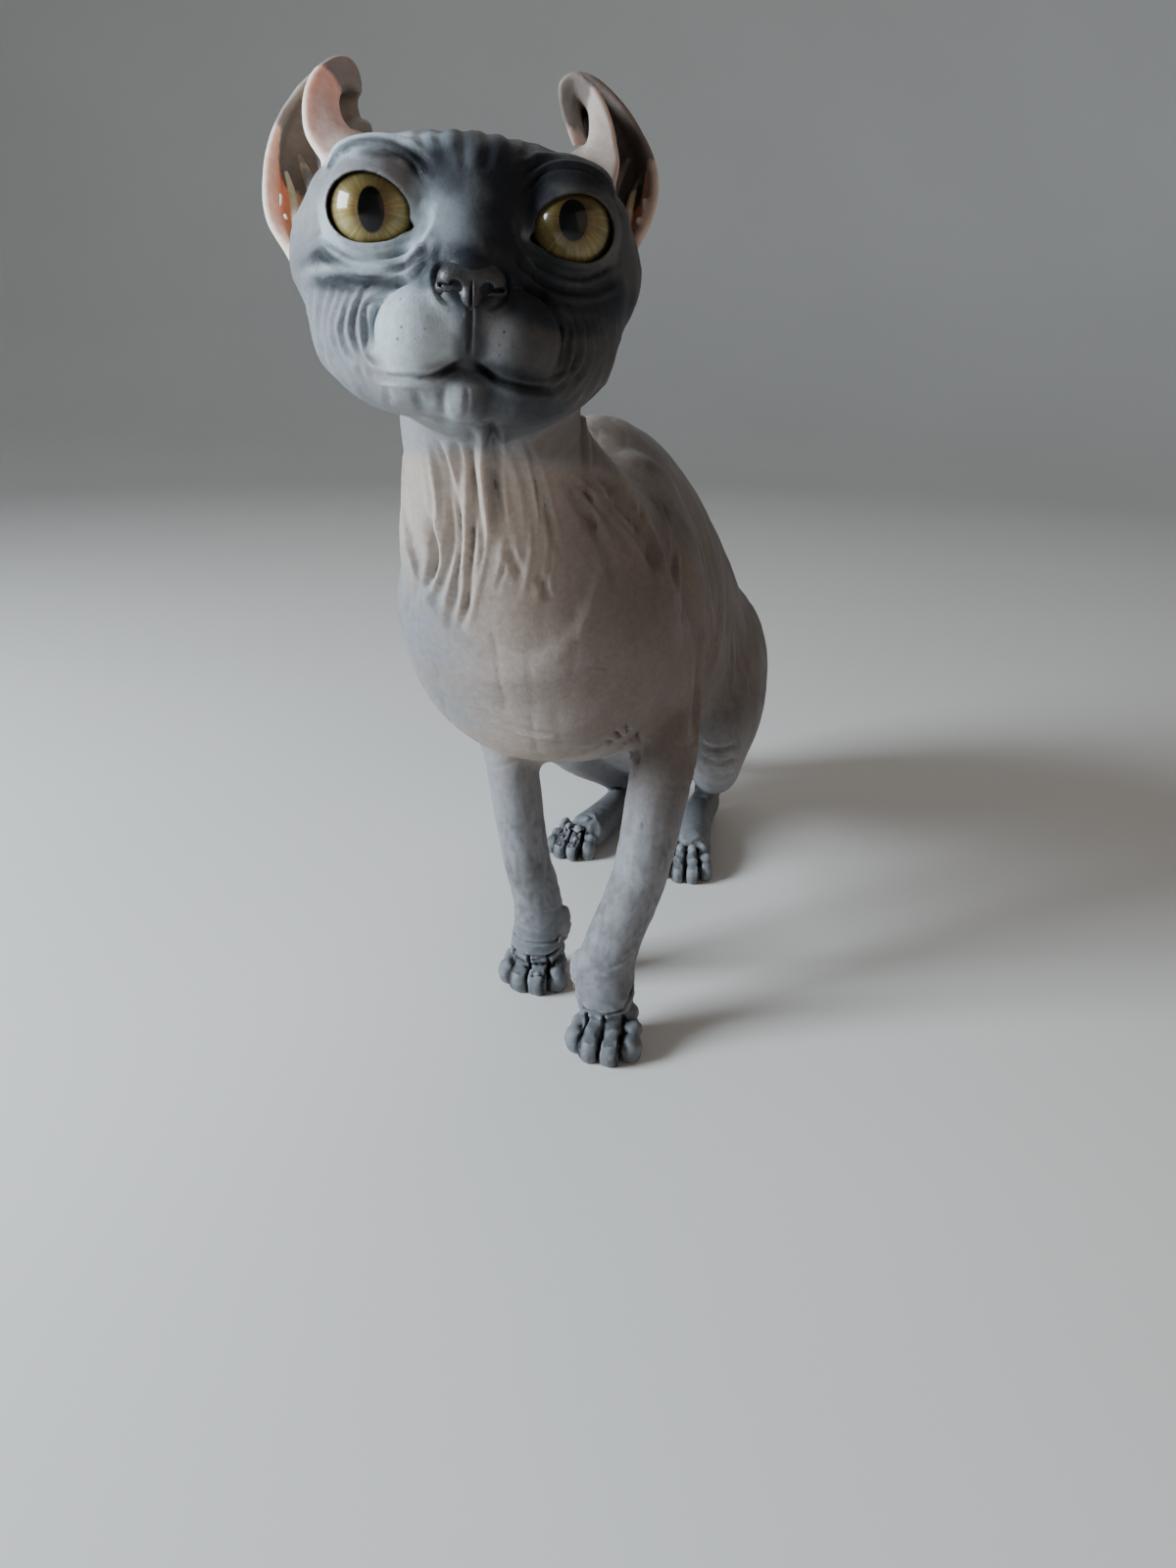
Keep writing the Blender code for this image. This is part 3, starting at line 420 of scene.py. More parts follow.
EAR_LEFT = (
    ((3.62, -1.00, 1.20), (3.79, -1.40, 1.90), (3.77, -1.90, 2.51), (3.66, -2.20, 3.12), (3.43, -2.40, 3.71),
     (3.07, -2.60, 4.20), (2.70, -2.80, 4.41), (2.40, -2.95, 4.19), (2.51, -3.10, 3.60), (2.87, -3.20, 2.86)),
    ((2.78, -1.60, 1.85), (3.12, -2.00, 2.30), (3.28, -2.40, 2.77), (3.30, -2.60, 3.22), (3.24, -2.80, 3.61),
     (3.09, -3.00, 3.88), (2.90, -3.10, 3.96), (2.83, -3.15, 3.80), (2.92, -3.20, 3.42), (3.16, -3.30, 2.94)),
    ((2.87, -2.60, 2.26), (3.30, -3.20, 2.73), (3.49, -3.60, 3.13), (3.52, -3.80, 3.55), (3.45, -3.90, 3.90),
     (3.26, -4.00, 4.09), (3.05, -3.90, 4.06), (2.96, -3.80, 3.90), (3.03, -3.70, 3.47), (3.25, -3.60, 3.01)),
    ((2.60, -4.00, 0.70), (2.80, -4.30, 1.50), (3.37, -4.40, 3.07), (3.33, -4.50, 3.51), (3.25, -4.50, 3.82),
     (3.17, -4.40, 3.99), (3.07, -4.30, 4.03), (3.04, -4.20, 3.87), (3.09, -4.00, 3.51), (3.21, -3.80, 3.06)),
    ((4.40, -4.20, 0.52), (4.83, -4.60, 1.59), (4.88, -4.80, 2.48), (4.66, -4.70, 3.18), (4.28, -4.60, 3.79),
     (3.80, -4.50, 4.29), (3.30, -4.40, 4.54), (2.86, -4.30, 4.54), (2.79, -4.10, 4.07), (2.98, -3.90, 3.32)),
    ((4.51, -2.60, -0.09), (5.08, -3.00, 1.09), (5.23, -3.30, 2.05), (5.08, -3.60, 2.83), (4.67, -3.70, 3.54),
     (4.06, -3.70, 4.18), (3.35, -3.70, 4.66), (2.79, -3.80, 4.74), (2.60, -3.80, 4.31), (2.78, -3.70, 3.50)),
)
EAR_ROWS, EAR_COLUMNS = 60, 48
EAR_THICKNESS = (0.28, 0.19)                 # at the base and at the tip, cm
EAR_ROOT = ((4.05, -2.2, -0.80), (0.75, 1.35, 1.25))
EAR_SHIFT = {-1: (0, 0, 0), 1: (-0.28, 0, 0.83)}     # the left ear sits this much inwards and higher
EAR_RIDGES = (
    # gristle folds inside each ear: x outwards, forward, up, radius
    ((4.86, -4.35, 2.05, 0.10), (4.55, -4.05, 1.45, 0.15),
     (4.28, -3.35, 0.72, 0.17), (4.15, -2.70, 0.20, 0.12)),
    ((5.20, -4.30, 1.60, 0.07), (4.98, -3.95, 0.95, 0.11),
     (4.80, -3.25, 0.20, 0.13), (4.66, -2.70, -0.50, 0.10)),
    ((4.45, -4.35, 2.75, 0.06), (4.32, -4.15, 2.15, 0.09),
     (4.10, -3.75, 1.45, 0.10), (3.85, -3.10, 0.90, 0.08)),
)
EAR_CANAL = ((3.80, -2.95, 0.95), (0.30, 0.55, 0.62))
EAR_POCKET = ((5.08, -3.05, 0.45), (0.08, 0.30, 0.26))       # the slit fold of skin on the rear rim
POCKET_LIP = ((5.20, -3.16, 0.75, 0.04), (5.15, -3.03, 0.45, 0.06), (5.02, -2.88, 0.10, 0.05))


def leaf_of(lines, side):
    """Points of the ear's middle sheet, base to tip by rows, front to rear rim by columns."""
    along = np.array([smooth_path(line, EAR_ROWS) for line in lines])
    leaf = np.array([smooth_path(along[:, row], EAR_COLUMNS) for row in range(EAR_ROWS)])
    leaf[..., 0] *= side
    return np.array([[on_head(p) for p in row] for row in leaf])


def sheet_of(leaf):
    rows, columns = leaf.shape[:2]
    corners = [(r * columns + c, r * columns + c + 1, (r + 1) * columns + c + 1, (r + 1) * columns + c)
               for r in range(rows - 1) for c in range(columns - 1)]
    return BVHTree.FromPolygons([Vector(p) for p in leaf.reshape(-1, 3)], corners)


def sheet_field(leaf, sheet, thickness, step, reach):
    """Distance to a sheet of this thickness at its base and at its tip, with round rims."""
    rows, columns = leaf.shape[:2]
    near = int(math.ceil((reach + 0.5 * max(thickness)) / step)) + 1
    cells = np.unique(np.round(leaf.reshape(-1, 3) / step / near).astype(int), axis=0)
    low, high = (cells.min(0) - 2) * near, (cells.max(0) + 2) * near
    window = np.full(high - low, FAR, np.float32)
    asked = np.zeros(high - low, bool)
    for cell in cells:
        first = (cell - 1) * near - low - near // 2
        asked[tuple(slice(max(a, 0), a + 3 * near) for a in first)] = True
    spots = np.argwhere(asked)
    faces_in_row = columns - 1
    distances = np.full(len(spots), FAR, np.float32)
    for number, place in enumerate(((spots + low) * step).tolist()):
        _, _, face, distance = sheet.find_nearest(place, reach + 0.5)
        if face is not None:
            along = face // faces_in_row / (rows - 2)
            distances[number] = distance - 0.5 * (thickness[0] + (thickness[1] - thickness[0]) * along)
    window[tuple(spots.T)] = distances
    return {"low": low, "step": step, "field": window}


def in_ear(side, place):
    """A place of the right ear's inside, put in either ear."""
    return beside(side, [value + shift for value, shift in zip(place, EAR_SHIFT[side])])


def gristle(side, ridge):
    """A thin cord of skin inside an ear."""
    return loft([(*in_ear(side, row[:3]), row[3], row[3]) for row in ridge], sides=16)


ear_leaves = {}
for lines, side in ((EAR_LEFT, 1), (EAR_RIGHT, -1)):
    leaf = leaf_of(lines, side)
    ear_leaves[side] = (leaf, sheet_of(leaf))
    press_on(head, head_ball(side, *EAR_ROOT), 0.7)
    press_on(head, sheet_field(leaf, ear_leaves[side][1], EAR_THICKNESS, HEAD_STEP, 0.35), 0.25)
    for ridge in EAR_RIDGES:
        press_on(head, gristle(side, ridge), 0.14)
    press_in(head, head_ball(side, *EAR_CANAL, in_ear), 0.20)
    press_on(head, gristle(side, POCKET_LIP), 0.22)
    press_in(head, head_ball(side, *EAR_POCKET, in_ear), 0.06)

# Lids: a thin ring of skin over each eyeball. The opening is wider than high and a little longer
# towards the nose, and shows only iris.

LID_TURN = 12                                # degrees; the openings look a little outwards
EYE_ROOM = 0.015                             # between eyeball and socket, cm
LID_CUTS = (                                 # towards the nose, up, half width, half height, blend
    (0.00, -0.15, 1.01, 0.80, 0.08), (0.30, -0.19, 0.88, 0.70, 0.10), (0.90, -0.42, 0.34, 0.16, 0.12))
for side in (-1, 1):
    eyeball = beside(side, EYE_PLACE)
    eye_turn = HEAD_TURN @ rotation(side * LID_TURN, "Z")
    press_on(head, ball(eyeball, (EYE_RADIUS + LID_THICKNESS,) * 3), 0.25)
    press_in(head, ball(eyeball, (EYE_RADIUS + EYE_ROOM,) * 3), 0.03)
    for inward, up, half_width, half_height, blend in LID_CUTS:
        press_in(head, ball(eyeball + eye_turn @ Vector((-side * inward, -1.30, up)),
                            (half_width, 1.30, half_height), eye_turn), blend)

# One skin: both clays are drawn as meshes, cut at the neck and sewn together there.

NECK_CUT = Vector((-1.05, -12.3, 23.0))
NECK_WAY = Vector((0.05, -0.645, 0.764)).normalized()
NECK_GAP = 0.02                              # half of the gap that is sewn up, cm
PAW_TOP, PAW_BACK = 2.9, 9.0                 # the toes below and before these get a finer mesh, cm


def drawn(lump):
    """The surface of the clay as points in cm and four-sided faces that look outwards."""
    grid = vdb.FloatGrid(FAR)
    grid.transform = vdb.createLinearTransform(lump["step"])
    grid.copyFromArray(np.clip(lump["field"], -4 * lump["step"], 4 * lump["step"]),
                       ijk=tuple(int(v) for v in lump["low"]), tolerance=0.0)
    grid.gridClass = vdb.GridClass.LEVEL_SET
    points, _, quads = grid.convertToPolygons(isovalue=0.0, adaptivity=0.0)
    return points, quads[:, ::-1]


def as_mesh(name, points, faces):
    mesh = bpy.data.meshes.new(name)
    mesh.vertices.add(len(points))
    mesh.vertices.foreach_set("co", np.ascontiguousarray(points, np.float32).ravel())
    mesh.loops.add(faces.size)
    mesh.loops.foreach_set("vertex_index", np.ascontiguousarray(faces, np.int32).ravel())
    mesh.polygons.add(len(faces))
    mesh.polygons.foreach_set("loop_start", np.arange(0, faces.size, faces.shape[1], dtype=np.int32))
    mesh.update(calc_edges=True)
    return mesh


def piece_of(name, mesh):
    """A smooth object of this mesh in the scene, at the origin."""
    mesh.shade_smooth()
    piece = bpy.data.objects.new(name, mesh)
    bpy.context.scene.collection.objects.link(piece)
    return piece


sewn = bmesh.new()
for lump, way in ((body, 1), (head, -1)):
    half_mesh = as_mesh("half", *drawn(lump))
    half = bmesh.new()
    half.from_mesh(half_mesh)
    bpy.data.meshes.remove(half_mesh)
    bmesh.ops.bisect_plane(half, geom=half.verts[:] + half.edges[:] + half.faces[:], dist=1e-5,
                           plane_co=NECK_CUT - NECK_WAY * (NECK_GAP * way), plane_no=NECK_WAY * way,
                           clear_outer=True)
    kept = bpy.data.meshes.new("kept")
    half.to_mesh(kept)
    half.free()
    sewn.from_mesh(kept)
    bpy.data.meshes.remove(kept)
across_neck = NECK_WAY.orthogonal().normalized()


def round_neck(vertex):
    """The vertex's angle round the middle of the neck."""
    offset = vertex.co - NECK_CUT
    return math.atan2(offset.dot(NECK_WAY.cross(across_neck)), offset.dot(across_neck))


rim_points = {end for edge in sewn.edges if edge.is_boundary for end in edge.verts}
low_rim, high_rim = (sorted((v for v in rim_points if ((v.co - NECK_CUT).dot(NECK_WAY) > 0) == above),
                            key=round_neck) for above in (False, True))
low_at = high_at = 0
while low_at < len(low_rim) or high_at < len(high_rim):
    low, high = low_rim[low_at % len(low_rim)], high_rim[high_at % len(high_rim)]
    next_low, next_high = low_rim[(low_at + 1) % len(low_rim)], high_rim[(high_at + 1) % len(high_rim)]
    low_angle = round_neck(next_low) + (math.tau if low_at + 1 >= len(low_rim) else 0)
    high_angle = round_neck(next_high) + (math.tau if high_at + 1 >= len(high_rim) else 0)
    if high_at == len(high_rim) or (low_at < len(low_rim) and low_angle < high_angle):
        sewn.faces.new((low, next_low, high))
        low_at += 1
    else:
        sewn.faces.new((low, next_high, high))
        high_at += 1
on_paws = [edge for edge in sewn.edges if all(v.co.z < PAW_TOP and v.co.y < PAW_BACK for v in edge.verts)]
bmesh.ops.subdivide_edges(sewn, edges=on_paws, cuts=1, use_grid_fill=True, smooth=0.6)
by_the_seam = [v for v in sewn.verts if abs((v.co - NECK_CUT).dot(NECK_WAY)) < 0.3]
for _ in range(8):
    bmesh.ops.smooth_vert(sewn, verts=by_the_seam, factor=0.5,
                          use_axis_x=True, use_axis_y=True, use_axis_z=True)
bmesh.ops.recalc_face_normals(sewn, faces=sewn.faces)
skin_mesh = bpy.data.meshes.new("skin")
sewn.to_mesh(skin_mesh)
sewn.free()
skin = piece_of("skin", skin_mesh)

# Wrinkles: bare skin lies in pleats down the neck, in rings round the muzzle and eyes, and in folds
# where limbs bend. Each is a groove with raised lips, pressed in along a line or all round a limb.

NOISE_SIDE = 32
NOISE_GRID = np.random.default_rng(3).uniform(-1, 1, (NOISE_SIDE,) * 3).astype(np.float32)
hand = np.random.default_rng(7)              # the unsteadiness of the hand that presses the folds
STROKE_TAPER = 0.25                          # the part of a stroke over which each end fades out
LIPS = 0.35                                  # height of a groove's raised lips, as a part of its depth
SIGHT_CELL = 5.0                             # pixels, for finding what the camera's side hides
SIGHT_SLACK = 0.8                            # cm


def read_out(mesh, layer="vertices", field="co"):
    values = np.empty(len(getattr(mesh, layer)) * 3, np.float32)
    getattr(mesh, layer).foreach_get(field, values)
    return values.reshape(-1, 3).astype(float)


def noise(places, grain, shift=0.0):
    """Smooth noise from -1 to 1 in lumps of this many cm, one number or one for each axis."""
    at = places / np.array(grain) + shift
    corner = np.floor(at).astype(int)
    t = at - corner
    t = t * t * (3 - 2 * t)
    total = np.zeros(len(places))
    for steps in itertools.product((0, 1), repeat=3):
        weight = np.ones(len(places))
        for axis, step in enumerate(steps):
            weight *= t[:, axis] if step else 1 - t[:, axis]
        x, y, z = ((corner + steps) % NOISE_SIDE).T
        total += weight * NOISE_GRID[x, y, z]
    return total


def layered_noise(places, grain, layers=3):
    return sum(noise(places, np.array(grain) / 2 ** layer, 7.3 * layer) / 2 ** layer
               for layer in range(layers)) / 1.5


def ramp(value, low, high):
    """0 below low and 1 above high, with a soft rise between them."""
    t = np.clip((value - low) / (high - low), 0, 1)
    return t * t * (3 - 2 * t)


view = np.array((view_right, view_up, view_way))


def in_photo(places):
    """Each place's pixel in the picture, and how many pixels a cm covers there."""
    right, rise, away = ((places - np.array(CAMERA_PLACE)) @ view.T).T
    scale = FOCUS_PIXELS / away
    return np.stack((IMAGE[0] / 2 + right * scale, IMAGE[1] / 2 - rise * scale), 1), scale


def in_head(places):
    """Each place in the head's frame: outwards to the left, forwards, up."""
    turned = (places - np.array(HEAD_PLACE)) @ np.array(HEAD_TURN)
    return turned * (1, -1, 1)


def head_part(places):
    """1 on the head and 0 on the neck and body, for places in the head's frame."""
    forward, up = places[:, 1], places[:, 2]
    return ramp(forward - 0.75 * up, -6.5, -4.5) * ramp(up, -6.3, -5.4)


def in_sight(places, normals):
    """Whether each place faces the camera with nothing well in front of it."""
    pixels, scale = in_photo(places)
    cells = np.clip(pixels / SIGHT_CELL, 0, np.array(IMAGE) / SIGHT_CELL - 1).astype(int)
    depth = FOCUS_PIXELS / scale
    nearest = np.full((np.array(IMAGE) / SIGHT_CELL).astype(int), np.inf)
    np.minimum.at(nearest, tuple(cells.T), depth)
    facing = ((np.array(CAMERA_PLACE) - places) * normals).sum(1) > 0
    return facing & (depth < nearest[tuple(cells.T)] + SIGHT_SLACK)


def averager_of(mesh):
    """A function that gives each of the mesh's points the mean of its neighbours' values."""
    joined = np.empty(2 * len(mesh.edges), np.int32)
    mesh.edges.foreach_get("vertices", joined)
    one_end, other_end = joined.reshape(-1, 2).T
    count = len(mesh.vertices)
    neighbours = np.bincount(joined, minlength=count)

    def averaged(values):
        return (np.bincount(one_end, values[other_end], count)
                + np.bincount(other_end, values[one_end], count)) / neighbours
    return averaged


EDGE_ROUNDS = 16        # how far a fold fades before its plane's edge


def plane_of(flat_places, scale, chosen):
    """A flat drawing plane: each point's place on it, its pixels to a cm, and how much it is drawn on."""
    weight = np.array(chosen, float)
    for _ in range(EDGE_ROUNDS):
        weight = averaged(weight)
    weight = ramp(weight, 0.5, 0.98)
    return {"places": flat_places, "scale": np.broadcast_to(scale, len(flat_places)),
            "weight": weight, "chosen": np.flatnonzero(weight > 0)}


def groove(gap, lips=LIPS):
    """The outline of a groove 1 deep, by the distance from its middle in parts of its width."""
    return lips * np.exp(-(gap / 0.9 - 2.0) ** 2) - np.exp(-gap ** 2)


def stroke(push, plane, line, width, depth, lips=LIPS):
    """Presses a groove of this width and depth in cm along a line. A negative depth raises a ridge."""
    line = smooth_path(line, 5 * len(line))
    places, scale, chosen = plane["places"], plane["scale"], plane["chosen"]
    margin = 4 * width * scale[chosen].max()
    inside = np.all((places[chosen] > line.min(0) - margin) & (places[chosen] < line.max(0) + margin), axis=1)
    near = chosen[inside]
    if not len(near):
        return
    start, along = line[:-1], np.diff(line, axis=0)
    offset = places[near][:, None] - start
    t = np.clip((offset * along).sum(2) / ((along ** 2).sum(1) + 1e-9), 0, 1)
    gaps = np.linalg.norm(offset - t[..., None] * along, axis=2)
    nearest = gaps.argmin(1)
    rows = np.arange(len(near))
    gap = gaps[rows, nearest] / scale[near] / width
    done = (nearest + t[rows, nearest]) / (len(line) - 1)
    fade = ramp(np.minimum(done, 1 - done), 0, STROKE_TAPER)
    push[near] += plane["weight"][near] * fade * (depth * groove(gap, lips))


def fan(push, plane, first, last, count, width, depth, wander):
    """Strokes spread evenly from one line to another, each a little unsteady."""
    size = max(len(first), len(last))
    first, last = smooth_path(first, size), smooth_path(last, size)
    for number in range(count):
        mix = (number + 0.5 + hand.uniform(-0.3, 0.3)) / count
        line = first * (1 - mix) + last * mix + hand.normal(0, wander, first.shape)
        stroke(push, plane, line, width * hand.uniform(0.8, 1.2), depth * hand.uniform(0.6, 1.2))


def ring(push, places, middle, way, radius, width, depth, weight=None):
    """Presses a groove all round a limb, where a plane across it passes."""
    offset = places - np.array(middle)
    near = np.flatnonzero((offset ** 2).sum(1) < radius ** 2)
    way = np.array(way, float) / np.linalg.norm(way)
    wobble = 1.3 * width * noise(places[near], 1.2, hand.uniform(0, 20))
    broken = 0.25 + 0.75 * ramp(noise(places[near], 1.1, hand.uniform(0, 20)), -0.4, 0.3)
    gap = np.abs(offset[near] @ way + wobble) / width
    pressed = depth * broken * groove(gap)
    push[near] += pressed if weight is None else pressed * weight[near]


averaged = averager_of(skin_mesh)
points = read_out(skin_mesh)
normals = read_out(skin_mesh, "vertex_normals", "vector")
head_places = in_head(points)
head_normals = normals @ np.array(HEAD_TURN) * (1, -1, 1)
on_skull = head_part(head_places)
x_out, forward, up = np.abs(head_places[:, 0]), head_places[:, 1], head_places[:, 2]
is_ear = (head_places[:, 0] < -2.2) & (up > 0.4 * (x_out - 4.2) - 0.2) & (forward < -0.9) | (
    (head_places[:, 0] > 2.2) & (up > 1.6 - 0.9 * (x_out - 2.8)) & (forward < -0.9))
pixels, pixel_scale = in_photo(points)
photo_plane = plane_of(pixels, pixel_scale, in_sight(points, normals))
face_plane = plane_of(np.stack((x_out, up), 1), 1.0,
                      (head_normals[:, 1] > 0.1) & (forward > -2.8) & (on_skull > 0.5) & ~is_ear)
side_plane = plane_of(points[:, 1:], 1.0, (np.abs(normals[:, 0]) > 0.35) & (on_skull < 0.5))
top_plane = plane_of(points[:, :2], 1.0, (normals[:, 2] > 0.25) & (on_skull < 0.5))
push = np.zeros(len(points))

NECK_PLEATS = (
    # the line down the neck in the picture, width and depth in cm
    (((441, 440), (456, 500), (458, 558), (441, 634)), 0.20, 0.26),
    (((462, 440), (469, 510), (466, 579), (459, 652)), 0.17, 0.24),
    (((478, 440), (482, 528), (477, 604), (468, 652)), 0.14, 0.20),
    (((490, 425), (492, 477), (500, 560)), 0.15, -0.26),
    (((503, 425), (506, 480), (511, 560)), 0.14, 0.24),
    (((413, 497), (439, 543), (441, 579), (423, 617)), 0.17, 0.14),
    (((431, 515), (444, 566), (431, 612)), 0.11, 0.14),
    (((404, 520), (424, 560), (424, 600), (408, 640)), 0.15, 0.11),
    (((602, 472), (625, 500), (661, 553), (671, 589)), 0.22, 0.24),
    (((574, 480), (592, 515), (618, 560), (628, 610)), 0.17, 0.13),
    (((545, 480), (558, 525), (572, 570)), 0.13, 0.09),
    (((518, 558), (524, 574), (530, 592)), 0.14, 0.12),
    (((548, 584), (554, 598), (560, 616)), 0.14, 0.12),
    (((594, 683), (610, 681), (625, 684)), 0.05, 0.04),
)
ARMPIT = (648, 770)
ARMPIT_RAYS = ((638, 737), (625, 744), (617, 755), (610, 765), (599, 775))
for line, width, depth in NECK_PLEATS:
    stroke(push, photo_plane, line, width, depth)
for end in ARMPIT_RAYS:
    bend = (0.55 * ARMPIT[0] + 0.45 * end[0], 0.5 * ARMPIT[1] + 0.5 * end[1])
    stroke(push, photo_plane, (ARMPIT, bend, end), 0.09, 0.13)
stroke(push, photo_plane, ((650, 738), (650, 760), (650, 782)), 0.12, 0.16)
stroke(push, photo_plane, ((650, 483), (690, 575), (716, 650), (714, 725), (704, 790)), 0.28, 0.29)
for drop in (0, 14, 28):
    stroke(push, photo_plane, ((709, 752 + drop), (722, 762 + drop), (740, 764 + drop), (757, 756 + drop)),
           0.12, 0.12)
fan(push, photo_plane, ((425, 440), (438, 500), (440, 560), (430, 620)),
    ((540, 440), (560, 500), (565, 560), (555, 620)), 16, 0.09, 0.07, 2.5)
fan(push, photo_plane, ((575, 482), (595, 515), (630, 560), (640, 600)),
    ((618, 482), (645, 500), (680, 530), (700, 560)), 6, 0.11, 0.08, 2.5)
fan(push, photo_plane, ((404, 540), (418, 575), (416, 620)), ((398, 600), (404, 630), (412, 664)),
    5, 0.10, 0.09, 2)
fan(push, photo_plane, ((420, 690), (470, 720), (530, 745), (600, 750)),
    ((450, 715), (510, 750), (570, 772), (635, 775)), 4, 0.10, 0.07, 2)
fan(push, photo_plane, ((728, 560), (736, 640), (732, 720)), ((765, 620), (775, 680), (765, 750)),
    4, 0.16, 0.05, 4)

FACE_FOLDS = (
    # the line on one half of the face, outwards and up in the head's frame, then width and depth
    (((0.0, -3.70), (0.35, -3.90), (0.85, -4.18), (1.45, -4.28), (2.0, -4.24), (2.4, -4.10)), 0.085, 0.15),
    (((0.0, -2.35), (0.0, -3.0), (0.0, -3.85)), 0.06, 0.10),
    (((1.00, -1.80), (1.70, -1.98), (2.22, -2.5), (2.40, -3.2), (2.30, -3.9)), 0.12, 0.10),
    (((0.62, -1.50), (0.84, -1.85), (0.74, -2.35), (0.30, -2.62)), 0.08, 0.09),
    (((1.28, -0.75), (1.16, -1.3), (1.30, -1.85)), 0.13, 0.08),
    (((0.64, -4.38), (0.60, -4.7), (0.50, -5.10)), 0.09, 0.06),
    (((0.0, -4.35), (0.0, -4.7), (0.0, -5.15)), 0.06, 0.05),
    (((1.32, -4.48), (1.20, -4.7), (1.02, -4.9)), 0.10, 0.045),
    (((1.90, -4.40), (1.98, -4.62), (1.84, -4.85)), 0.10, 0.035),
    (((0.28, 2.3), (0.32, 1.5), (0.20, 0.7)), 0.13, 0.05),
    (((0.85, 2.3), (0.90, 1.6), (0.72, 0.9)), 0.13, 0.045),
    (((1.40, 2.2), (1.40, 1.8), (1.20, 1.2)), 0.12, 0.045),
)
EYE_FOLDS = (
    # distance from the eye's middle, first and last angle in degrees from straight outwards, width, depth
    (1.44, 10, 168, 0.06, 0.07), (1.76, 25, 150, 0.10, 0.09), (2.06, 40, 120, 0.10, 0.04),
    (1.46, 195, 350, 0.07, 0.08), (1.80, 200, 335, 0.09, 0.08), (2.15, 212, 322, 0.10, 0.06),
)
EYE_SQUASH = 0.92                            # height of the folds round the eyes, as a part of their width
CHEEK_RINGS = 9
CHEEK_MIDDLE = (1.25, -3.0)                  # of the rings round the whisker pads, outwards and up


def arc(middle, wide, high, first, last, wander):
    """An unsteady arc on the face, its ends in degrees from straight outwards."""
    angles = np.radians(np.linspace(first, last, 8))
    line = np.stack((middle[0] + wide * np.cos(angles), middle[1] + high * np.sin(angles)), 1)
    return line + hand.normal(0, wander, line.shape)


for line, width, depth in FACE_FOLDS:
    stroke(push, face_plane, line, width, depth)
for distance, first, last, width, depth in EYE_FOLDS:
    line = arc((EYE_PLACE.x, EYE_PLACE.z), distance, EYE_SQUASH * distance, first, last, 0.03)
    stroke(push, face_plane, line, width, depth)
for number in range(CHEEK_RINGS):            # rings round the whisker pads, down the cheek to the jaw
    line = arc(CHEEK_MIDDLE, 1.42 + 0.24 * number, 1.30 + 0.22 * number, 48 - 3 * number, -62, 0.06)
    stroke(push, face_plane, line, 0.075, 0.065 * hand.uniform(0.6, 1.2))

fan(push, side_plane, ((-3.0, 20.0), (-2.2, 15.0), (-3.0, 11.5)), ((1.5, 20.0), (2.4, 15.0), (1.0, 11.0)),
    6, 0.13, 0.06, 0.15)
fan(push, side_plane, ((3.2, 13.4), (4.4, 11.0), (5.0, 8.6)), ((5.6, 14.8), (6.8, 12.0), (7.4, 9.6)),
    5, 0.13, 0.08, 0.15)
fan(push, side_plane, ((14.0, 12.5), (15.2, 9.5), (14.5, 6.5)), ((16.0, 10.5), (16.9, 8.5), (16.5, 6.0)),
    4, 0.13, 0.06, 0.12)
stroke(push, top_plane, ((-0.6, -9.0), (-0.2, -3.0), (0.3, 3.0), (0.9, 9.0), (1.2, 15.0)), 0.8, -0.10, lips=0)

away_from_pleats = 1 - ramp(-normals[:, 1], 0.1, 0.6)
for mix in np.linspace(0.15, 0.95, 9):       # rings round the nape
    middle = smooth_path(NECK, 41)[int(40 * mix)]
    ring(push, points, middle[:3], NECK_WAY, 5.5, 0.12, 0.05 * hand.uniform(0.6, 1.3), away_from_pleats)
tail_path = smooth_path(TAIL, 70)
for before, station in zip(tail_path[6:-1], tail_path[7:]):
    ring(push, points, station[:3], station[:3] - before[:3], 1.3 * station[3] + 0.3, 0.07,
         0.03 * hand.uniform(0.5, 1.3))
LIMB_RINGS = (
    # middle, way along the limb, radius, spread of the rings along it, width, depth
    ((2.60, -10.0, 3.5), (-0.2, -0.2, 1), 1.9, 1.0, 0.07, 0.05),
    ((-1.03, -6.45, 3.4), (0.0, 0.1, 1), 1.8, 1.0, 0.07, 0.05),
    ((4.1, -6.6, 10.9), (0.1, 0.4, 1), 2.4, 1.6, 0.10, 0.05),
    ((-2.35, -6.3, 11.1), (-0.2, 0.1, 1), 2.2, 1.6, 0.10, 0.05),
    ((4.3, 13.6, 2.0), (0.1, 0.6, 1), 1.6, 0.8, 0.08, 0.05),
    ((-0.9, 13.6, 2.0), (0.1, 0.6, 1), 1.6, 0.8, 0.08, 0.05),
    ((4.0, 8.4, 1.0), (0, 1, 0), 1.8, 1.8, 0.07, 0.04),
    ((-1.75, 9.4, 1.0), (-0.2, 1, 0), 1.8, 1.8, 0.07, 0.04),
)
RING_STEPS = (-0.5, -0.1, 0.35)              # where a limb's rings lie, as parts of their spread
for middle, way, radius, spread, width, depth in LIMB_RINGS:
    way = Vector(way).normalized()
    for step in RING_STEPS:
        lean = Vector(hand.normal(0, 0.14, 3))
        ring(push, points, Vector(middle) + way * ((step + hand.uniform(-0.12, 0.12)) * spread), way + lean,
             radius, width, 0.8 * depth * hand.uniform(0.5, 1.2))
TOE_CREASES = ((1.72, 0.5), (1.95, 0.25), (2.15, 0.6), (2.4, 0.1))   # over the toes' roots: height, lean
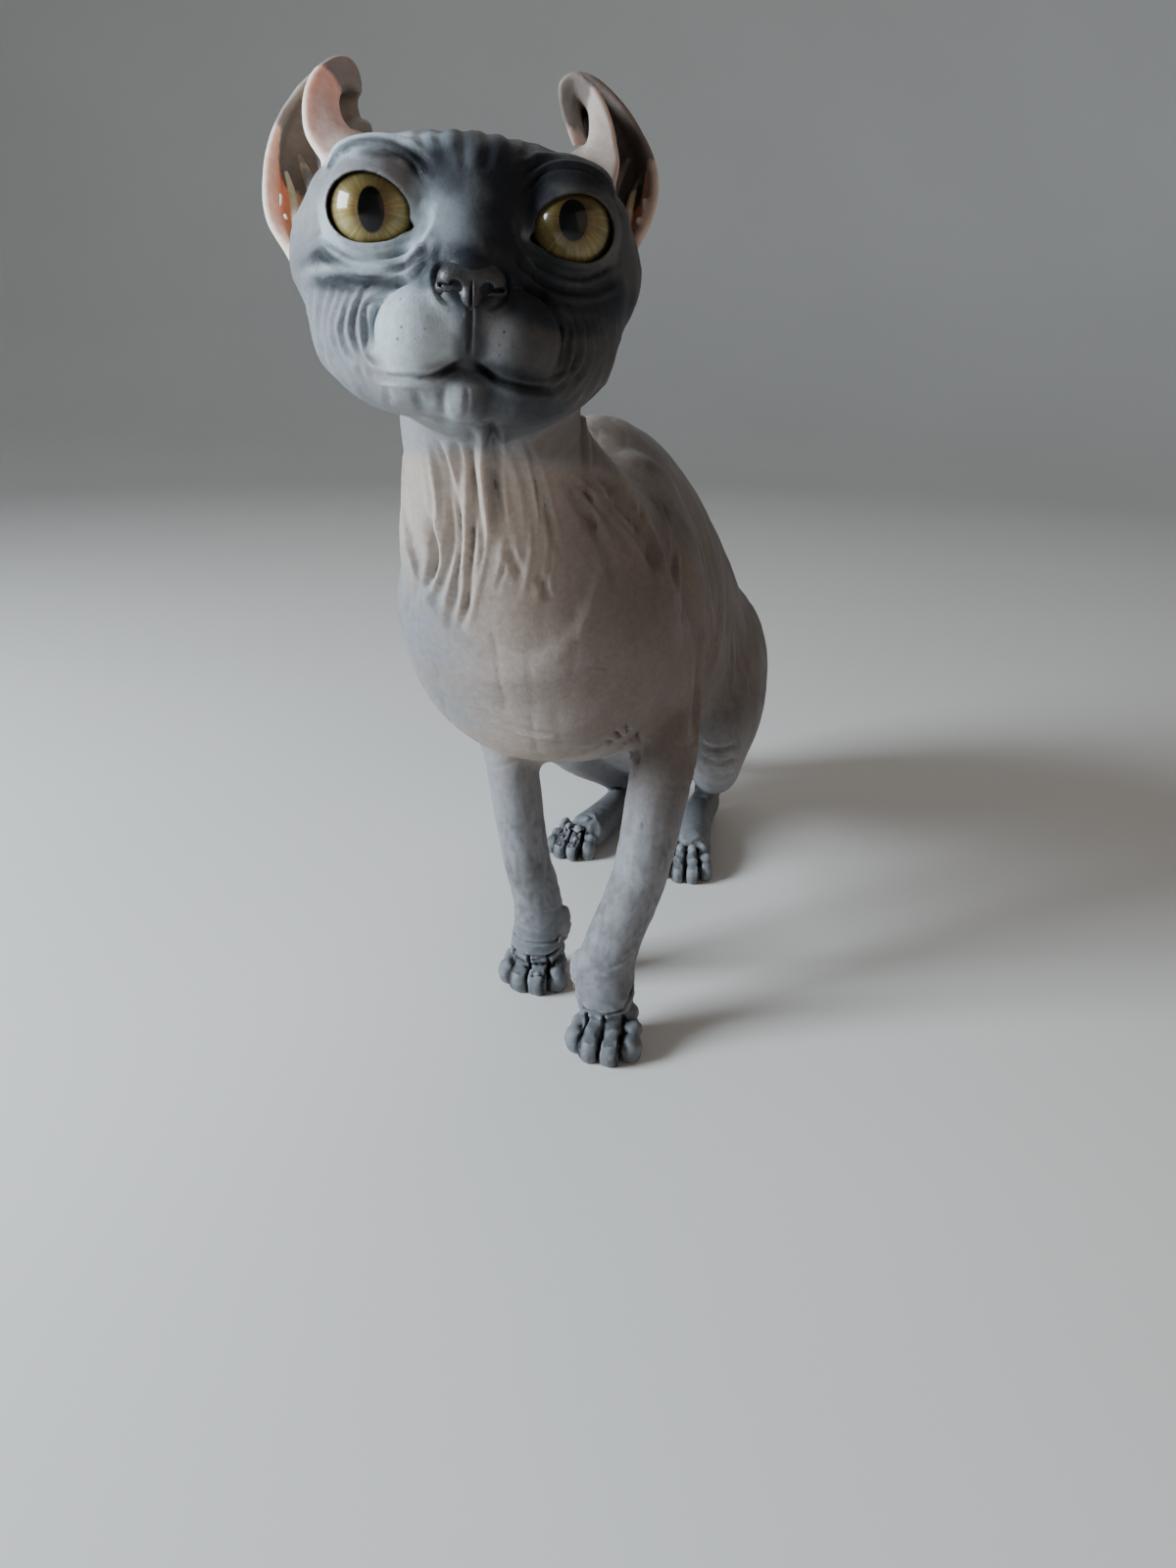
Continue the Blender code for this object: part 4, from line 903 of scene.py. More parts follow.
for name in PAWS:
    middle, ahead_way, across, size, _ = paw_frame(name)
    for sideways, forwards in TOE_GAPS:
        gap = middle + across * (sideways * size)
        gap += ahead_way * ((forwards + 0.15) * size)
        gap_way = across - ahead_way * (TOE_SPLAY * sideways)
        ring(push, points, (gap.x, gap.y, 0.7 * size), gap_way, 1.05 * size, 0.07, 0.20)
    for rise, lean in TOE_CREASES:
        root = middle - ahead_way * (0.1 * size)
        ring(push, points, (root.x, root.y, rise * size), Vector((0, 0, 1)) + ahead_way * lean,
             1.7 * size, 0.06, 0.08 * hand.uniform(0.6, 1.2))

height = points[:, 2]
thin_skin = 1 - 0.75 * is_ear
on_limb = ramp(9.0 - height, 0, 2) * (1 - ramp(points[:, 1], 4.0, 5.0))
on_trunk = (1 - on_skull) * (1 - on_limb)
push += thin_skin * 0.016 * noise(points, 1.3, 3.1)
push += on_trunk * 0.030 * np.minimum(0, 0.6 * np.abs(noise(points, (0.9, 1.4, 3.6), 1.7)) - 0.2) / 0.2
push += on_limb * 0.018 * noise(points, (0.9, 0.9, 0.32), 5.2)
push += ramp(2.8 - height, 0, 0.8) * on_limb * 0.022 * noise(points, 0.26, 2.9)
push += on_skull * thin_skin * 0.014 * noise(points, 0.42, 9.4)
points += normals * push[:, None]
points[:, 2] = np.maximum(points[:, 2], 0.0)
skin_mesh.vertices.foreach_set("co", (points * 0.01 + np.array(CAT_SHIFT)).astype(np.float32).ravel())
skin_mesh.update()

SKIN_TRIANGLES = 190000
skin_mesh.calc_loop_triangles()
bpy.ops.object.select_all(action="DESELECT")
bpy.context.view_layer.objects.active = skin
skin.select_set(True)
thin = skin.modifiers.new("thin", "DECIMATE")
thin.ratio = min(1.0, SKIN_TRIANGLES / len(skin_mesh.loop_triangles))
bpy.ops.object.modifier_apply(modifier="thin")

# Colour of the skin: slate grey, charcoal between and under the eyes, painted brown shade on the side away
# from the lamp, mauve on the chest, pale on one brow and whisker pad, partly painted light, pink inside the
# ears, grey feet. Creases are darkened with painted shade and bulges lightened with painted highlight.

SLATE = (0.250, 0.252, 0.265)
MAUVE = (0.34, 0.275, 0.235)
NECK_PINK = (0.42, 0.345, 0.29)
CHARCOAL = (0.017, 0.019, 0.024)
FOOT_GREY = (0.150, 0.160, 0.172)
DARK_AND_SHADED_CHEEK = (0.050, 0.045, 0.042)
PALE = (0.50, 0.57, 0.61)
SHADED_BROWN = (0.120, 0.092, 0.078)
EAR_PINK = (0.96, 0.78, 0.56)
FOREHEAD_GREY = (0.090, 0.098, 0.108)
EAR_BAND = (0.78, 0.66, 0.58)
EAR_RED = (0.15, 0.028, 0.018)
# painted shade for the hollow under each ear's hooked tip
HOLLOW_SHADE = (0.012, 0.013, 0.018)
LID_BROWN = (0.022, 0.015, 0.012)
GLINT_CORNER = (1.34, -0.53)                  # the painted glint at the wet inner corner of each eye, outwards and up
EAR_REACH = (0.38, 0.85)                     # how near the ear's sheet is skin of its outside, its inside, cm
EAR_LIGHT = {1: 0.6, -1: 1.0}                # of each ear's band; the left one lies in the shade
TIP_SHADE = {1: 0.55, -1: 0.25}              # how much painted shade blackens each ear inside its hooked tip
TOE_SHADE_LINE = 0.085                             # width of the painted shade line between two toes, for size 1

FACE_CHARCOAL_AND_SHADE = (
    # middle and radii on the face, outwards to the left and up in the head's frame, and strength. The
    # charcoal mask; the patches on the left half, away from the lamp, are partly painted shade
    ((0.0, -1.95), (1.15, 0.85), 1.0), ((1.00, 1.15), (1.05, 1.70), 1.0),
    ((1.05, -0.45), (0.95, 1.55), 1.0), ((1.35, -1.70), (1.45, 0.95), 1.0),
    ((-0.85, -1.75), (0.80, 0.55), 0.97), ((-1.15, 1.05), (0.65, 0.65), 0.80),
    ((-0.55, 0.55), (0.45, 0.50), 0.60), ((0.1, 2.1), (1.3, 0.50), 0.75),
    ((-0.45, 1.75), (0.5, 0.5), 0.6), ((-3.0, -1.38), (1.35, 0.27), 0.88),
    ((-2.9, -1.98), (1.20, 0.26), 0.88), ((-1.75, -1.35), (0.65, 0.36), 0.88),
    ((2.9, -1.75), (1.6, 0.62), 0.92), ((2.3, -2.35), (1.3, 0.50), 0.85),
    ((-2.2, 1.08), (0.85, 0.18), 0.65), ((2.2, 1.12), (1.3, 0.45), 0.88),
    ((0.05, -3.2), (0.42, 1.0), 0.80), ((0.45, -4.05), (1.3, 0.32), 0.75),
    ((0.6, -4.7), (0.5, 0.6), 0.6), ((1.3, -4.6), (1.2, 0.6), 0.75),
)
FACE_PALE_AND_LIT = (
    # middle, radii and strength as above: pale skin, mostly on the right half where the lamp falls, partly
    # painted light
    ((-1.45, -3.0), (1.0, 1.1), 0.85), ((-2.5, 1.52), (1.35, 0.42), 1.0), ((-3.3, 1.42), (0.8, 0.50), 1.0),
    ((-1.42, -0.05), (0.20, 0.8), 0.45), ((-0.70, -0.35), (0.42, 0.7), 0.12),
    ((-3.5, -2.9), (1.1, 1.4), 0.12), ((-2.9, -1.68), (1.2, 0.16), 0.6), ((-0.98, -4.65), (0.20, 0.36), 0.38),
    ((-0.36, -4.78), (0.19, 0.44), 0.45), ((0.95, -4.65), (0.3, 0.4), 0.12), ((-1.7, -4.5), (0.5, 0.3), 0.15),
    ((-0.9, 1.75), (0.35, 0.35), 0.3),
)

points = (read_out(skin.data) - np.array(CAT_SHIFT)) * 100.0
normals = read_out(skin.data, "vertex_normals", "vector")
head_places = in_head(points)
x, forward, up = head_places.T
height = points[:, 2]
on_skull = head_part(head_places)
ragged = layered_noise(points, 1.1)
mottle = layered_noise(points + 20, 0.45)
blotch = layered_noise(points + 40, 2.4)

averaged = averager_of(skin.data)
centre_of_neighbours = np.stack([averaged(points[:, axis]) for axis in range(3)], 1)
# The square of the edges' length, and how hollow the skin is, 1/cm, above 0 in a crease
spread = averaged((points ** 2).sum(1)) - (centre_of_neighbours ** 2).sum(1)
hollow = ((centre_of_neighbours - points) * normals).sum(1) / np.maximum(spread, 1e-5)
for _ in range(2):
    hollow = 0.5 * hollow + 0.5 * averaged(hollow)


def patch(middle, radii, soft=0.35, rag=0.35):
    """1 inside an ellipse on the face, outwards to the left and up, with a ragged soft edge."""
    distance = np.sqrt((((np.stack((x, up), 1) - middle) / radii) ** 2).sum(1))
    return ramp(1 - distance + rag * ragged + 0.12 * mottle, -soft, soft) * (forward > -2.5) * on_skull


def paint(colour, amount):
    """Mixes the colours of the points towards this colour."""
    amount = np.clip(amount, 0, 1)[:, None]
    tint[:] = tint * (1 - amount) + np.array(colour) * amount


tint = np.tile(np.array(SLATE), (len(points), 1))
off_skull = 1 - on_skull
front = ramp(-normals[:, 1], -0.4, 0.5) * ramp(height, 9, 13)
under = ramp(-normals[:, 2], 0.0, 0.7) * ramp(height, 5, 8)
warm = np.maximum(front * ramp(points[:, 0], -4.5, -1.0), under) * off_skull
shaded_flank = ramp(points[:, 0], 1.0, 4.5) * off_skull * ramp(height, 6, 10)
paint(MAUVE, 0.9 * warm + 0.25 * blotch)
throat = front * ramp(height, 17, 21) * ramp(3.0 - points[:, 0], 0, 3) * off_skull
shaded_side = front * ramp(points[:, 0], -0.6, 2.4) * off_skull
paint(FOOT_GREY, 0.45 * front * ramp(-points[:, 0], 1.5, 4.0) * off_skull)
paint(NECK_PINK, 0.75 * throat)
# Painted shade: warm brown on the flank and on the front's side away from the lamp.
paint(SHADED_BROWN, np.maximum(0.70 * shaded_flank, 0.70 * shaded_side))
legs = ramp(11.5 - height, 0, 5) * (1 - ramp(points[:, 1], 3.0, 6.0))
paint(SLATE, 0.8 * legs)
paint(CHARCOAL, 0.35 * legs * ramp(layered_noise(points, 0.22), -0.2, 0.5)
      + 0.15 * legs * ramp(mottle, -0.1, 0.5))
feet = ramp(4.6 - height + 1.0 * ragged, 0, 3.6)
paint(FOOT_GREY, 0.92 * feet)
paint(CHARCOAL, 0.40 * ramp(points[:, 1], 17, 24) * (1 - feet))
for claw_place in DEWCLAW.values():
    gap = np.linalg.norm((points - np.array(Vector(claw_place) + THUMB_RISE)) / THUMB_RADII, axis=1)
    paint(SLATE, 0.75 * ramp(1.35 - gap, 0, 0.35))
back = ramp(normals[:, 2], 0.2, 0.9) * off_skull
paint(CHARCOAL, 0.35 * back * ramp(blotch, -0.3, 0.6) + 0.15 * ramp(blotch, 0.1, 0.7) * off_skull)

face = on_skull * ramp(forward, -3.0, -1.5)
forehead = face * ramp(up, -2.2, -1.0) * ramp(2.1 - np.abs(x), 0, 1.0)
paint(FOREHEAD_GREY, 0.88 * forehead)
# The face's left half, away from the lamp, is darker: partly its own skin, partly painted shade.
paint(DARK_AND_SHADED_CHEEK, 0.92 * face * ramp(x, -0.3, 1.3))
# Painted shade: brown on the side of the head away from the lamp, behind the face.
paint(SHADED_BROWN, 0.85 * on_skull * (1 - face) * ramp(x, 0.8, 2.4))
dark_and_shaded_face = np.max([strength * patch(middle, radii) for middle, radii, strength in FACE_CHARCOAL_AND_SHADE], axis=0)
pale_and_lit_face = np.max([strength * patch(middle, radii, soft=0.45, rag=0.2)
                    for middle, radii, strength in FACE_PALE_AND_LIT], axis=0)
paint(FOREHEAD_GREY, 0.45 * face * ramp(-x, 1.6, 3.0) * ramp(-up, 0.2, 1.2))
paint(FOREHEAD_GREY, 0.35 * face * ramp(-up, 4.1, 4.7))
# The charcoal mask, with painted shade in its patches on the face's left half.
paint(CHARCOAL, dark_and_shaded_face)
# Pale patches: partly the skin's own paleness, partly painted light on the face's right half.
paint(PALE, pale_and_lit_face * (1 - 0.75 * dark_and_shaded_face))

for side in (-1, 1):
    eyeball = (side * EYE_PLACE.x, EYE_PLACE.y, EYE_PLACE.z)
    eye_gap = np.hypot(x - eyeball[0], up - eyeball[2])
    ball_gap = np.linalg.norm(head_places - eyeball, axis=1)
    # The pale lower lid is strong on the right eye, the lit one: partly painted light.
    lower_lid = ramp(1.62 - eye_gap, 0, 0.12) * (forward > 0) * ramp(-up, -0.3, 0.6)
    paint(PALE, lower_lid * (0.60 if side < 0 else 0.05))
    # Painted shade in the fold over each eye: a dark band above the opening.
    paint(CHARCOAL, 0.75 * ramp(1.72 - eye_gap, 0, 0.15) * (forward > 0) * ramp(up, 0.2, 0.8)
          * ramp(eye_gap, 1.32, 1.45))
    paint(LID_BROWN, ramp(EYE_RADIUS + 0.14 - ball_gap, 0, 0.05))
    # Painted highlight: a glint at the inner corner of each eye, brighter on the right, lit eye.
    glint_gap = np.hypot(x - side * GLINT_CORNER[0], up - GLINT_CORNER[1])
    paint(PALE, (0.7 if side < 0 else 0.2) * ramp(0.17 - glint_gap, 0, 0.08) * (forward > 0))

pads = 0.9 * np.maximum(patch((-1.40, -3.0), (1.0, 0.85), 0.2, 0), patch((1.40, -3.0), (1.0, 0.85), 0.2, 0))
thinness = np.full(len(points), 0.12)        # how much light comes through the skin
inside_ear = np.zeros(len(points))
pink, red, black = np.array(EAR_PINK), np.array(EAR_RED), np.array(HOLLOW_SHADE)
for side, (leaf, sheet) in ear_leaves.items():
    rows, columns = leaf.shape[:2]
    row_middles = leaf.mean(axis=1)
    for number in np.flatnonzero((side * x > 2.2) & (forward < -0.9) & (up > -1.6) & (on_skull > 0.5)):
        spot, _, face_number, gap = sheet.find_nearest(Vector(points[number]), 1.0)
        if spot is None:
            continue
        along, across = divmod(face_number, columns - 1)
        inward = np.dot(row_middles[along] - np.array(spot), points[number] - np.array(spot)) > 0
        along, across = along / (rows - 2), across / (columns - 2)
        near_sheet = float(ramp(EAR_REACH[int(inward)] - gap, 0, 0.18))
        thinness[number] = max(thinness[number], 0.85 * near_sheet)
        rim = max(float(ramp(0.09 - across, 0, 0.07)), float(ramp(across - 0.91, 0, 0.07)))
        speck = 0.5 + 0.5 * ragged[number]
        if inward and rim < 0.9:
            canal = float(ramp(0.34 - along, 0, 0.2)) * math.exp(-((across - 0.40) / 0.20) ** 2)
            # Painted shade: the left ear, away from the lamp, is reddened all over inside; the right ear's
            # canal is fainter.
            canal = max(canal, 0.30) if side > 0 else 0.75 * canal
            shade = pink + (red - pink) * 0.92 * canal
            # Painted shade: the hollow under the hooked tip is darkened towards black, more in the left ear.
            shade = shade + (black - shade) * (float(ramp(along, 0.66, 0.85)) * TIP_SHADE[side])
            amount = near_sheet * (0.95 - 0.25 * speck)
            inside_ear[number] = near_sheet
        else:
            shade = np.array(EAR_BAND) * EAR_LIGHT[side]
            amount = near_sheet * (0.35 + 0.55 * max(rim, float(ramp(0.33 - across, 0, 0.1))))
        tint[number] = tint[number] * (1 - amount) + shade * amount

# Painted shade: skin is darkened in its creases and in lines between the toes, less inside the ears.
crease = ramp(hollow, 0.4, 3.5 - 2.0 * feet) * (1 - 0.85 * inside_ear)
for paw in PAWS:
    middle, ahead_way, across, size, _ = paw_frame(paw)
    offset = points - np.array(middle)
    sideways = offset @ np.array(across) / size
    reach_out = offset @ np.array(ahead_way) / size
    at_toes = ramp(2.0 * size - height, 0, 0.6) * (np.abs(sideways) < 1.5) * (np.abs(reach_out - 0.3) < 1.5)
    spread_out = 1 - TOE_SPLAY * (1 - ramp(reach_out, -0.6, 0.6))
    for gap_side, _ in TOE_GAPS:
        line = gap_side * spread_out + 0.07 * ragged
        crease = np.maximum(crease, at_toes * np.exp(-((sideways - line) / TOE_SHADE_LINE) ** 2))
tint = tint * (1 - (0.75 + 0.22 * feet) * crease)[:, None]
# Painted highlight: bulges are lightened, most on the feet.
tint = tint * (1 + 0.9 * ramp(-hollow, 0.3, 2.5) * np.maximum(feet, 0.35))[:, None]
tint_layer = skin.data.attributes.new("tint", "FLOAT_COLOR", "POINT")
tint_layer.data.foreach_set("color", np.column_stack((tint, pads)).astype(np.float32).ravel())
thin_layer = skin.data.attributes.new("thinness", "FLOAT", "POINT")
thin_layer.data.foreach_set("value", thinness.astype(np.float32))


def feed(node, *sources, **values):
    """Sets up a node. Values in order go to its first sockets and a leading capital names a socket; what
    is itself a socket, or a node, by its first output, is wired in."""
    for name, value in values.items():
        if name[0].islower():
            setattr(node, name, value)
    named = [(name.replace("_", " "), value) for name, value in values.items() if name[0].isupper()]
    for socket, value in [*enumerate(sources), *named]:
        if isinstance(value, bpy.types.Node):
            value = value.outputs[0]
        if isinstance(value, bpy.types.NodeSocket):
            node.id_data.links.new(value, node.inputs[socket])
        else:
            node.inputs[socket].default_value = value
    return node


def add_node(tree, kind, *sources, **values):
    return feed(tree.nodes.new("ShaderNode" + kind), *sources, **values)


def colour_ramp(tree, source, *stops):
    """Colours by the source's value; each stop is a position and a colour."""
    node = add_node(tree, "ValToRGB", source)
    elements = node.color_ramp.elements
    for position, _ in stops[1:-1]:
        elements.new(position)
    for element, (position, colour) in zip(elements, stops):
        element.position = position
        element.color = (*colour, 1)
    return node


def new_material(name, **values):
    """A material, its node tree and its main shader with these values."""
    material = bpy.data.materials.new(name)
    material.use_nodes = True
    return material, material.node_tree, feed(material.node_tree.nodes["Principled BSDF"], **values)


bare_skin, tree, shader = new_material(
    "bare_skin", Subsurface_Radius=(1.0, 0.42, 0.25), Subsurface_Scale=0.005, Specular_IOR_Level=0.10,
    Sheen_Weight=0.02, Sheen_Roughness=0.45)
on_piece = add_node(tree, "TexCoord").outputs["Object"]
tint_node = add_node(tree, "Attribute", attribute_name="tint")
flecks = add_node(tree, "TexNoise", on_piece, Scale=420.0, Detail=4.0, Roughness=0.6)
fleck_range = add_node(tree, "MapRange", flecks, From_Min=0.3, From_Max=0.7, To_Min=0.88, To_Max=1.10)
shade = add_node(tree, "VectorMath", tint_node, operation="SCALE", Scale=fleck_range)
whisker_roots = add_node(tree, "TexVoronoi", on_piece, Scale=300.0, Randomness=0.6)
root_dots = add_node(tree, "MapRange", whisker_roots, From_Min=0.06, From_Max=0.16, To_Min=0.7, To_Max=0.0)
dots_on_pads = add_node(tree, "Math", root_dots, tint_node.outputs["Alpha"], operation="MULTIPLY")
bare_part = add_node(tree, "Math", 1.0, dots_on_pads, operation="SUBTRACT")
dotted = add_node(tree, "VectorMath", shade, operation="SCALE", Scale=bare_part)
thin_node = add_node(tree, "Attribute", attribute_name="thinness")
oily = add_node(tree, "TexNoise", on_piece, Scale=60.0, Detail=3.0)
oily_range = add_node(tree, "MapRange", oily, From_Min=0.35, From_Max=0.65, To_Min=0.40, To_Max=0.60)
grain = add_node(tree, "TexVoronoi", on_piece, Scale=1100.0, feature="DISTANCE_TO_EDGE")
creases = add_node(tree, "TexNoise", on_piece, Scale=240.0, Detail=5.0, Roughness=0.65)
grain_bump = add_node(tree, "Bump", Strength=0.3, Distance=0.0002, Height=grain)
crease_bump = add_node(tree, "Bump", Strength=0.45, Distance=0.0006, Height=creases, Normal=grain_bump)
feed(shader, Base_Color=dotted, Subsurface_Weight=thin_node.outputs["Fac"], Roughness=oily_range,
     Normal=crease_bump)
skin.data.materials.append(bare_skin)
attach(skin, "root")
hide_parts(*[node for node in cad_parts
                    if not node.startswith(("claw_", "eye_")) and node != "nose"])

# Nose leather: a bare pebbled pad with two comma nostrils over a split lip, set on the muzzle's tip.
# It is firm wet-looking skin, near black, modelled as small lumps of clay melted together.

NOSE_GRAIN = 0.03                            # cm
NOSE_LUMPS = (
    # place in the head's frame and radii; all but the first two are made on both sides
    ((0.0, 2.30, -1.76), (0.60, 0.36, 0.38)), ((0.0, 2.34, -2.26), (0.28, 0.28, 0.40)),
    ((0.40, 2.24, -1.92), (0.44, 0.38, 0.38)), ((0.64, 2.02, -2.14), (0.27, 0.32, 0.25)),
)
NOSTRIL = ((0.38, 2.58, -2.12), (0.17, 0.30, 0.12))
NOSTRIL_SLIT = ((0.64, 2.34, -2.12), (0.20, 0.24, 0.05))
LIP_SPLIT = ((0.0, 2.66, -2.42), (0.035, 0.24, 0.46))

nose_shapes = [head_ball(1, place, radii) for place, radii in NOSE_LUMPS[:2]]
nose_shapes += [head_ball(side, place, radii) for place, radii in NOSE_LUMPS[2:] for side in (-1, 1)]
nose_clay = melted(nose_shapes, 0.12, NOSE_GRAIN)
for side in (-1, 1):
    for hole, tilt, blend in ((NOSTRIL, -25, 0.05), (NOSTRIL_SLIT, -12, 0.04)):
        press_in(nose_clay, head_ball(side, *hole, turn=HEAD_TURN @ rotation(tilt * side, "Y")), blend)
press_in(nose_clay, head_ball(1, *LIP_SPLIT), 0.05)
nose_points, nose_faces = drawn(nose_clay)
nose_mesh = as_mesh("nose_leather", nose_points * 0.01 + np.array(CAT_SHIFT), nose_faces)
nose_leather = piece_of("nose_leather", nose_mesh)

wet_leather, tree, shader = new_material("wet_leather", Coat_Weight=0.15, Coat_Roughness=0.30)
on_piece = add_node(tree, "TexCoord").outputs["Object"]
pebbles = add_node(tree, "TexVoronoi", on_piece, Scale=1300.0, feature="F1")
tones = add_node(tree, "TexNoise", on_piece, Scale=300.0, Detail=3.0)
feed(shader,
     Base_Color=colour_ramp(tree, tones, (0.0, (0.010, 0.009, 0.010)), (1.0, (0.034, 0.030, 0.031))),
     Roughness=add_node(tree, "MapRange", tones, To_Min=0.38, To_Max=0.58),
     Normal=add_node(tree, "Bump", Strength=0.35, Distance=0.0002, invert=True, Height=pebbles))
nose_mesh.materials.append(wet_leather)
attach(nose_leather, "root")
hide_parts("nose")

# Eyes: glassy balls with a bulging cornea, a gold iris that fills the opening and an upright pupil.
# The iris has fine spokes, painted shade from the lids darkens its top, and it ends in a dark ring under the
# lids.

EYE_GAZE = {1: (0.005, 0.999, 0.018), -1: (-0.008, 0.984, -0.171)}   # outwards to the left, forwards, up
PUPIL = {1: (0.37, 0.50), -1: (0.33, 0.53)}                          # half width and half height, cm
IRIS_LIGHT = {1: 0.60, -1: 1.0}              # painted shade: the left iris, away from the lamp, is the darker one
CORNEA_REACH = 0.86                          # of the ball's radius
CORNEA_BULGE = 0.06                          # cm
IRIS_EDGE = 1.12                             # radius of the whole iris, cm
IRIS_BANDS = (                               # part of the iris's radius, colour
    (0.0, (0.08, 0.048, 0.016)), (0.40, (0.14, 0.090, 0.030)), (0.52, (0.25, 0.185, 0.062)),
    (0.70, (0.34, 0.270, 0.105)), (0.82, (0.25, 0.190, 0.074)), (0.89, (0.05, 0.034, 0.014)),
    (0.96, (0.010, 0.009, 0.008)))


def iris_material(name, pupil, light):
    """Gold iris in the eye's own plane: the UV map holds cm from the middle of the gaze."""
    material, tree, shader = new_material(name, Roughness=0.22, IOR=1.38, Specular_IOR_Level=0.25,
                                          Coat_Weight=1.0, Coat_IOR=1.34, Coat_Roughness=0.015)
    on_eye = add_node(tree, "UVMap", uv_map="gaze")
    oval = add_node(tree, "VectorMath", on_eye, (*pupil, 1.0), operation="DIVIDE")
    pupil_reach = add_node(tree, "VectorMath", oval, operation="LENGTH").outputs["Value"]
    pupil_edge = add_node(tree, "MapRange", pupil_reach, From_Min=0.94, From_Max=1.04)
    reach = add_node(tree, "VectorMath", on_eye, operation="LENGTH").outputs["Value"]
    bands = colour_ramp(tree, add_node(tree, "MapRange", reach, From_Max=IRIS_EDGE), *IRIS_BANDS)
    spoke_way = add_node(tree, "VectorMath", on_eye, operation="NORMALIZE")
    spoke_scale = add_node(tree, "VectorMath", spoke_way, operation="SCALE", Scale=9.0)
    spokes = add_node(tree, "TexNoise", spoke_scale, Scale=1.0, Detail=5.0, Roughness=0.7)
    spoke_light = add_node(tree, "MapRange", spokes, From_Min=0.3, From_Max=0.7, To_Min=0.62, To_Max=1.30)
    clouds = add_node(tree, "TexNoise", on_eye, Scale=3.2, Detail=3.0)
    cloud_light = add_node(tree, "MapRange", clouds, From_Min=0.3, From_Max=0.7, To_Min=0.80, To_Max=1.15)
    # Painted shade of the upper lid: the iris darkens towards its top, and all of it by the light value.
    height_part = add_node(tree, "SeparateXYZ", on_eye).outputs["Y"]
    top_shade = add_node(tree, "MapRange", height_part, From_Min=0.15, From_Max=0.85,
                         To_Min=1.05 * light, To_Max=0.16 * light)
    colour = bands
    for part in (spoke_light, cloud_light, top_shade, pupil_edge):
        colour = add_node(tree, "VectorMath", colour, operation="SCALE", Scale=part)
    feed(shader, Base_Color=colour)
    return material


for side, word in ((1, "left"), (-1, "right")):
    bpy.ops.object.select_all(action="DESELECT")
    bpy.ops.mesh.primitive_uv_sphere_add(segments=96, ring_count=64, radius=EYE_RADIUS)
    eye = bpy.context.object
    eye.name = "eyeball_" + word
    gaze = HEAD_TURN @ Vector((EYE_GAZE[side][0], -EYE_GAZE[side][1], EYE_GAZE[side][2]))
    look = gaze.to_track_quat("Z", "Y").to_matrix()
    middle = beside(side, EYE_PLACE)
    gaze_map = eye.data.uv_layers.new(name="gaze")
    for loop in eye.data.loops:
        vertex = eye.data.vertices[loop.vertex_index].co
        stretch = 3.0 if vertex.z < 0 else 1.0       # puts the back of the ball beyond the iris
        gaze_map.data[loop.index].uv = (vertex.x * stretch, vertex.y * stretch)
    for vertex in eye.data.vertices:
        reach = math.hypot(vertex.co.x, vertex.co.y) / EYE_RADIUS
        if vertex.co.z > 0 and reach < CORNEA_REACH:
            vertex.co.z += CORNEA_BULGE * (1 - (reach / CORNEA_REACH) ** 2) ** 2
        vertex.co = in_frame(middle + look @ vertex.co)
    eye.data.shade_smooth()
    eye.data.materials.append(iris_material("iris_" + word, PUPIL[side], IRIS_LIGHT[side]))
    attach(eye, "root")
    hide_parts("eye_" + word)

# Claws: small hooked horns, drawn in, so that only each tip shows at its toe. Pale horn with a
# browner root. One is shaped and the rest are copies.

CLAW_ROOT, CLAW_HEIGHT = 0.14, 0.50          # ahead of the toe's middle, above the floor, for size 1
CLAW_LENGTH, DEWCLAW_LENGTH = 0.85, 0.60
CLAW_RADIUS = 0.12

claw_horn, tree, shader = new_material("claw_horn", Subsurface_Weight=0.2, Subsurface_Scale=0.001)
on_piece = add_node(tree, "TexCoord").outputs["Object"]
streaks = add_node(tree, "TexNoise", on_piece, Scale=700.0, Detail=4.0)
feed(shader,
     Base_Color=colour_ramp(tree, streaks, (0.0, (0.20, 0.14, 0.09)), (1.0, (0.52, 0.44, 0.33))),
     Roughness=add_node(tree, "MapRange", streaks, To_Min=0.28, To_Max=0.45),
     Normal=add_node(tree, "Bump", Strength=0.2, Distance=0.0002, Height=streaks))

bpy.ops.object.select_all(action="DESELECT")
bpy.ops.mesh.primitive_cone_add(vertices=14, radius1=1.0, radius2=0.06, depth=1.0, location=(0, 0, 0.5))
bpy.ops.object.transform_apply(location=True)
pattern_claw = bpy.context.object
bpy.ops.object.mode_set(mode="EDIT")
bpy.ops.mesh.select_all(action="SELECT")
bpy.ops.mesh.subdivide(number_cuts=4)
bpy.ops.object.mode_set(mode="OBJECT")
pattern_points = [vertex.co.copy() for vertex in pattern_claw.data.vertices]


def add_claw(name, root, ahead, length):
    claw = piece_of("horn_" + name, pattern_claw.data.copy())
    across = ahead.cross(Vector((0, 0, 1)))
    for vertex, (x, y, along) in zip(claw.data.vertices, pattern_points):
        rise = 0.24 * along - 0.38 * along ** 2
        spot = (root + ahead * (along * length) + across * (0.8 * CLAW_RADIUS * x)
                + Vector((0, 0, rise * length + 1.2 * CLAW_RADIUS * y)))
        vertex.co = in_frame(spot)
    claw.data.materials.append(claw_horn)
    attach(claw, "root")
    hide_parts("claw_" + name)


for paw in PAWS:
    middle, paw_ahead, across, size, _ = paw_frame(paw)
    for number, (sideways, forwards) in enumerate(TOES, 1):
        root = middle + across * (sideways * size) + paw_ahead * ((forwards + CLAW_ROOT) * size)
        add_claw(f"{paw}_{number}", root + Vector((0, 0, CLAW_HEIGHT * size)), paw_ahead, CLAW_LENGTH)
    if paw in DEWCLAW:
        add_claw(f"{paw}_dew", Vector(DEWCLAW[paw]) - Vector((0, 0, 0.1)), paw_ahead, DEWCLAW_LENGTH)
bpy.data.objects.remove(pattern_claw)

# Studio: a pale floor that curves up into a pale wall all round, a large cool window lamp on the
# cat's right, a weak warm fill on its left and a soft top lamp.

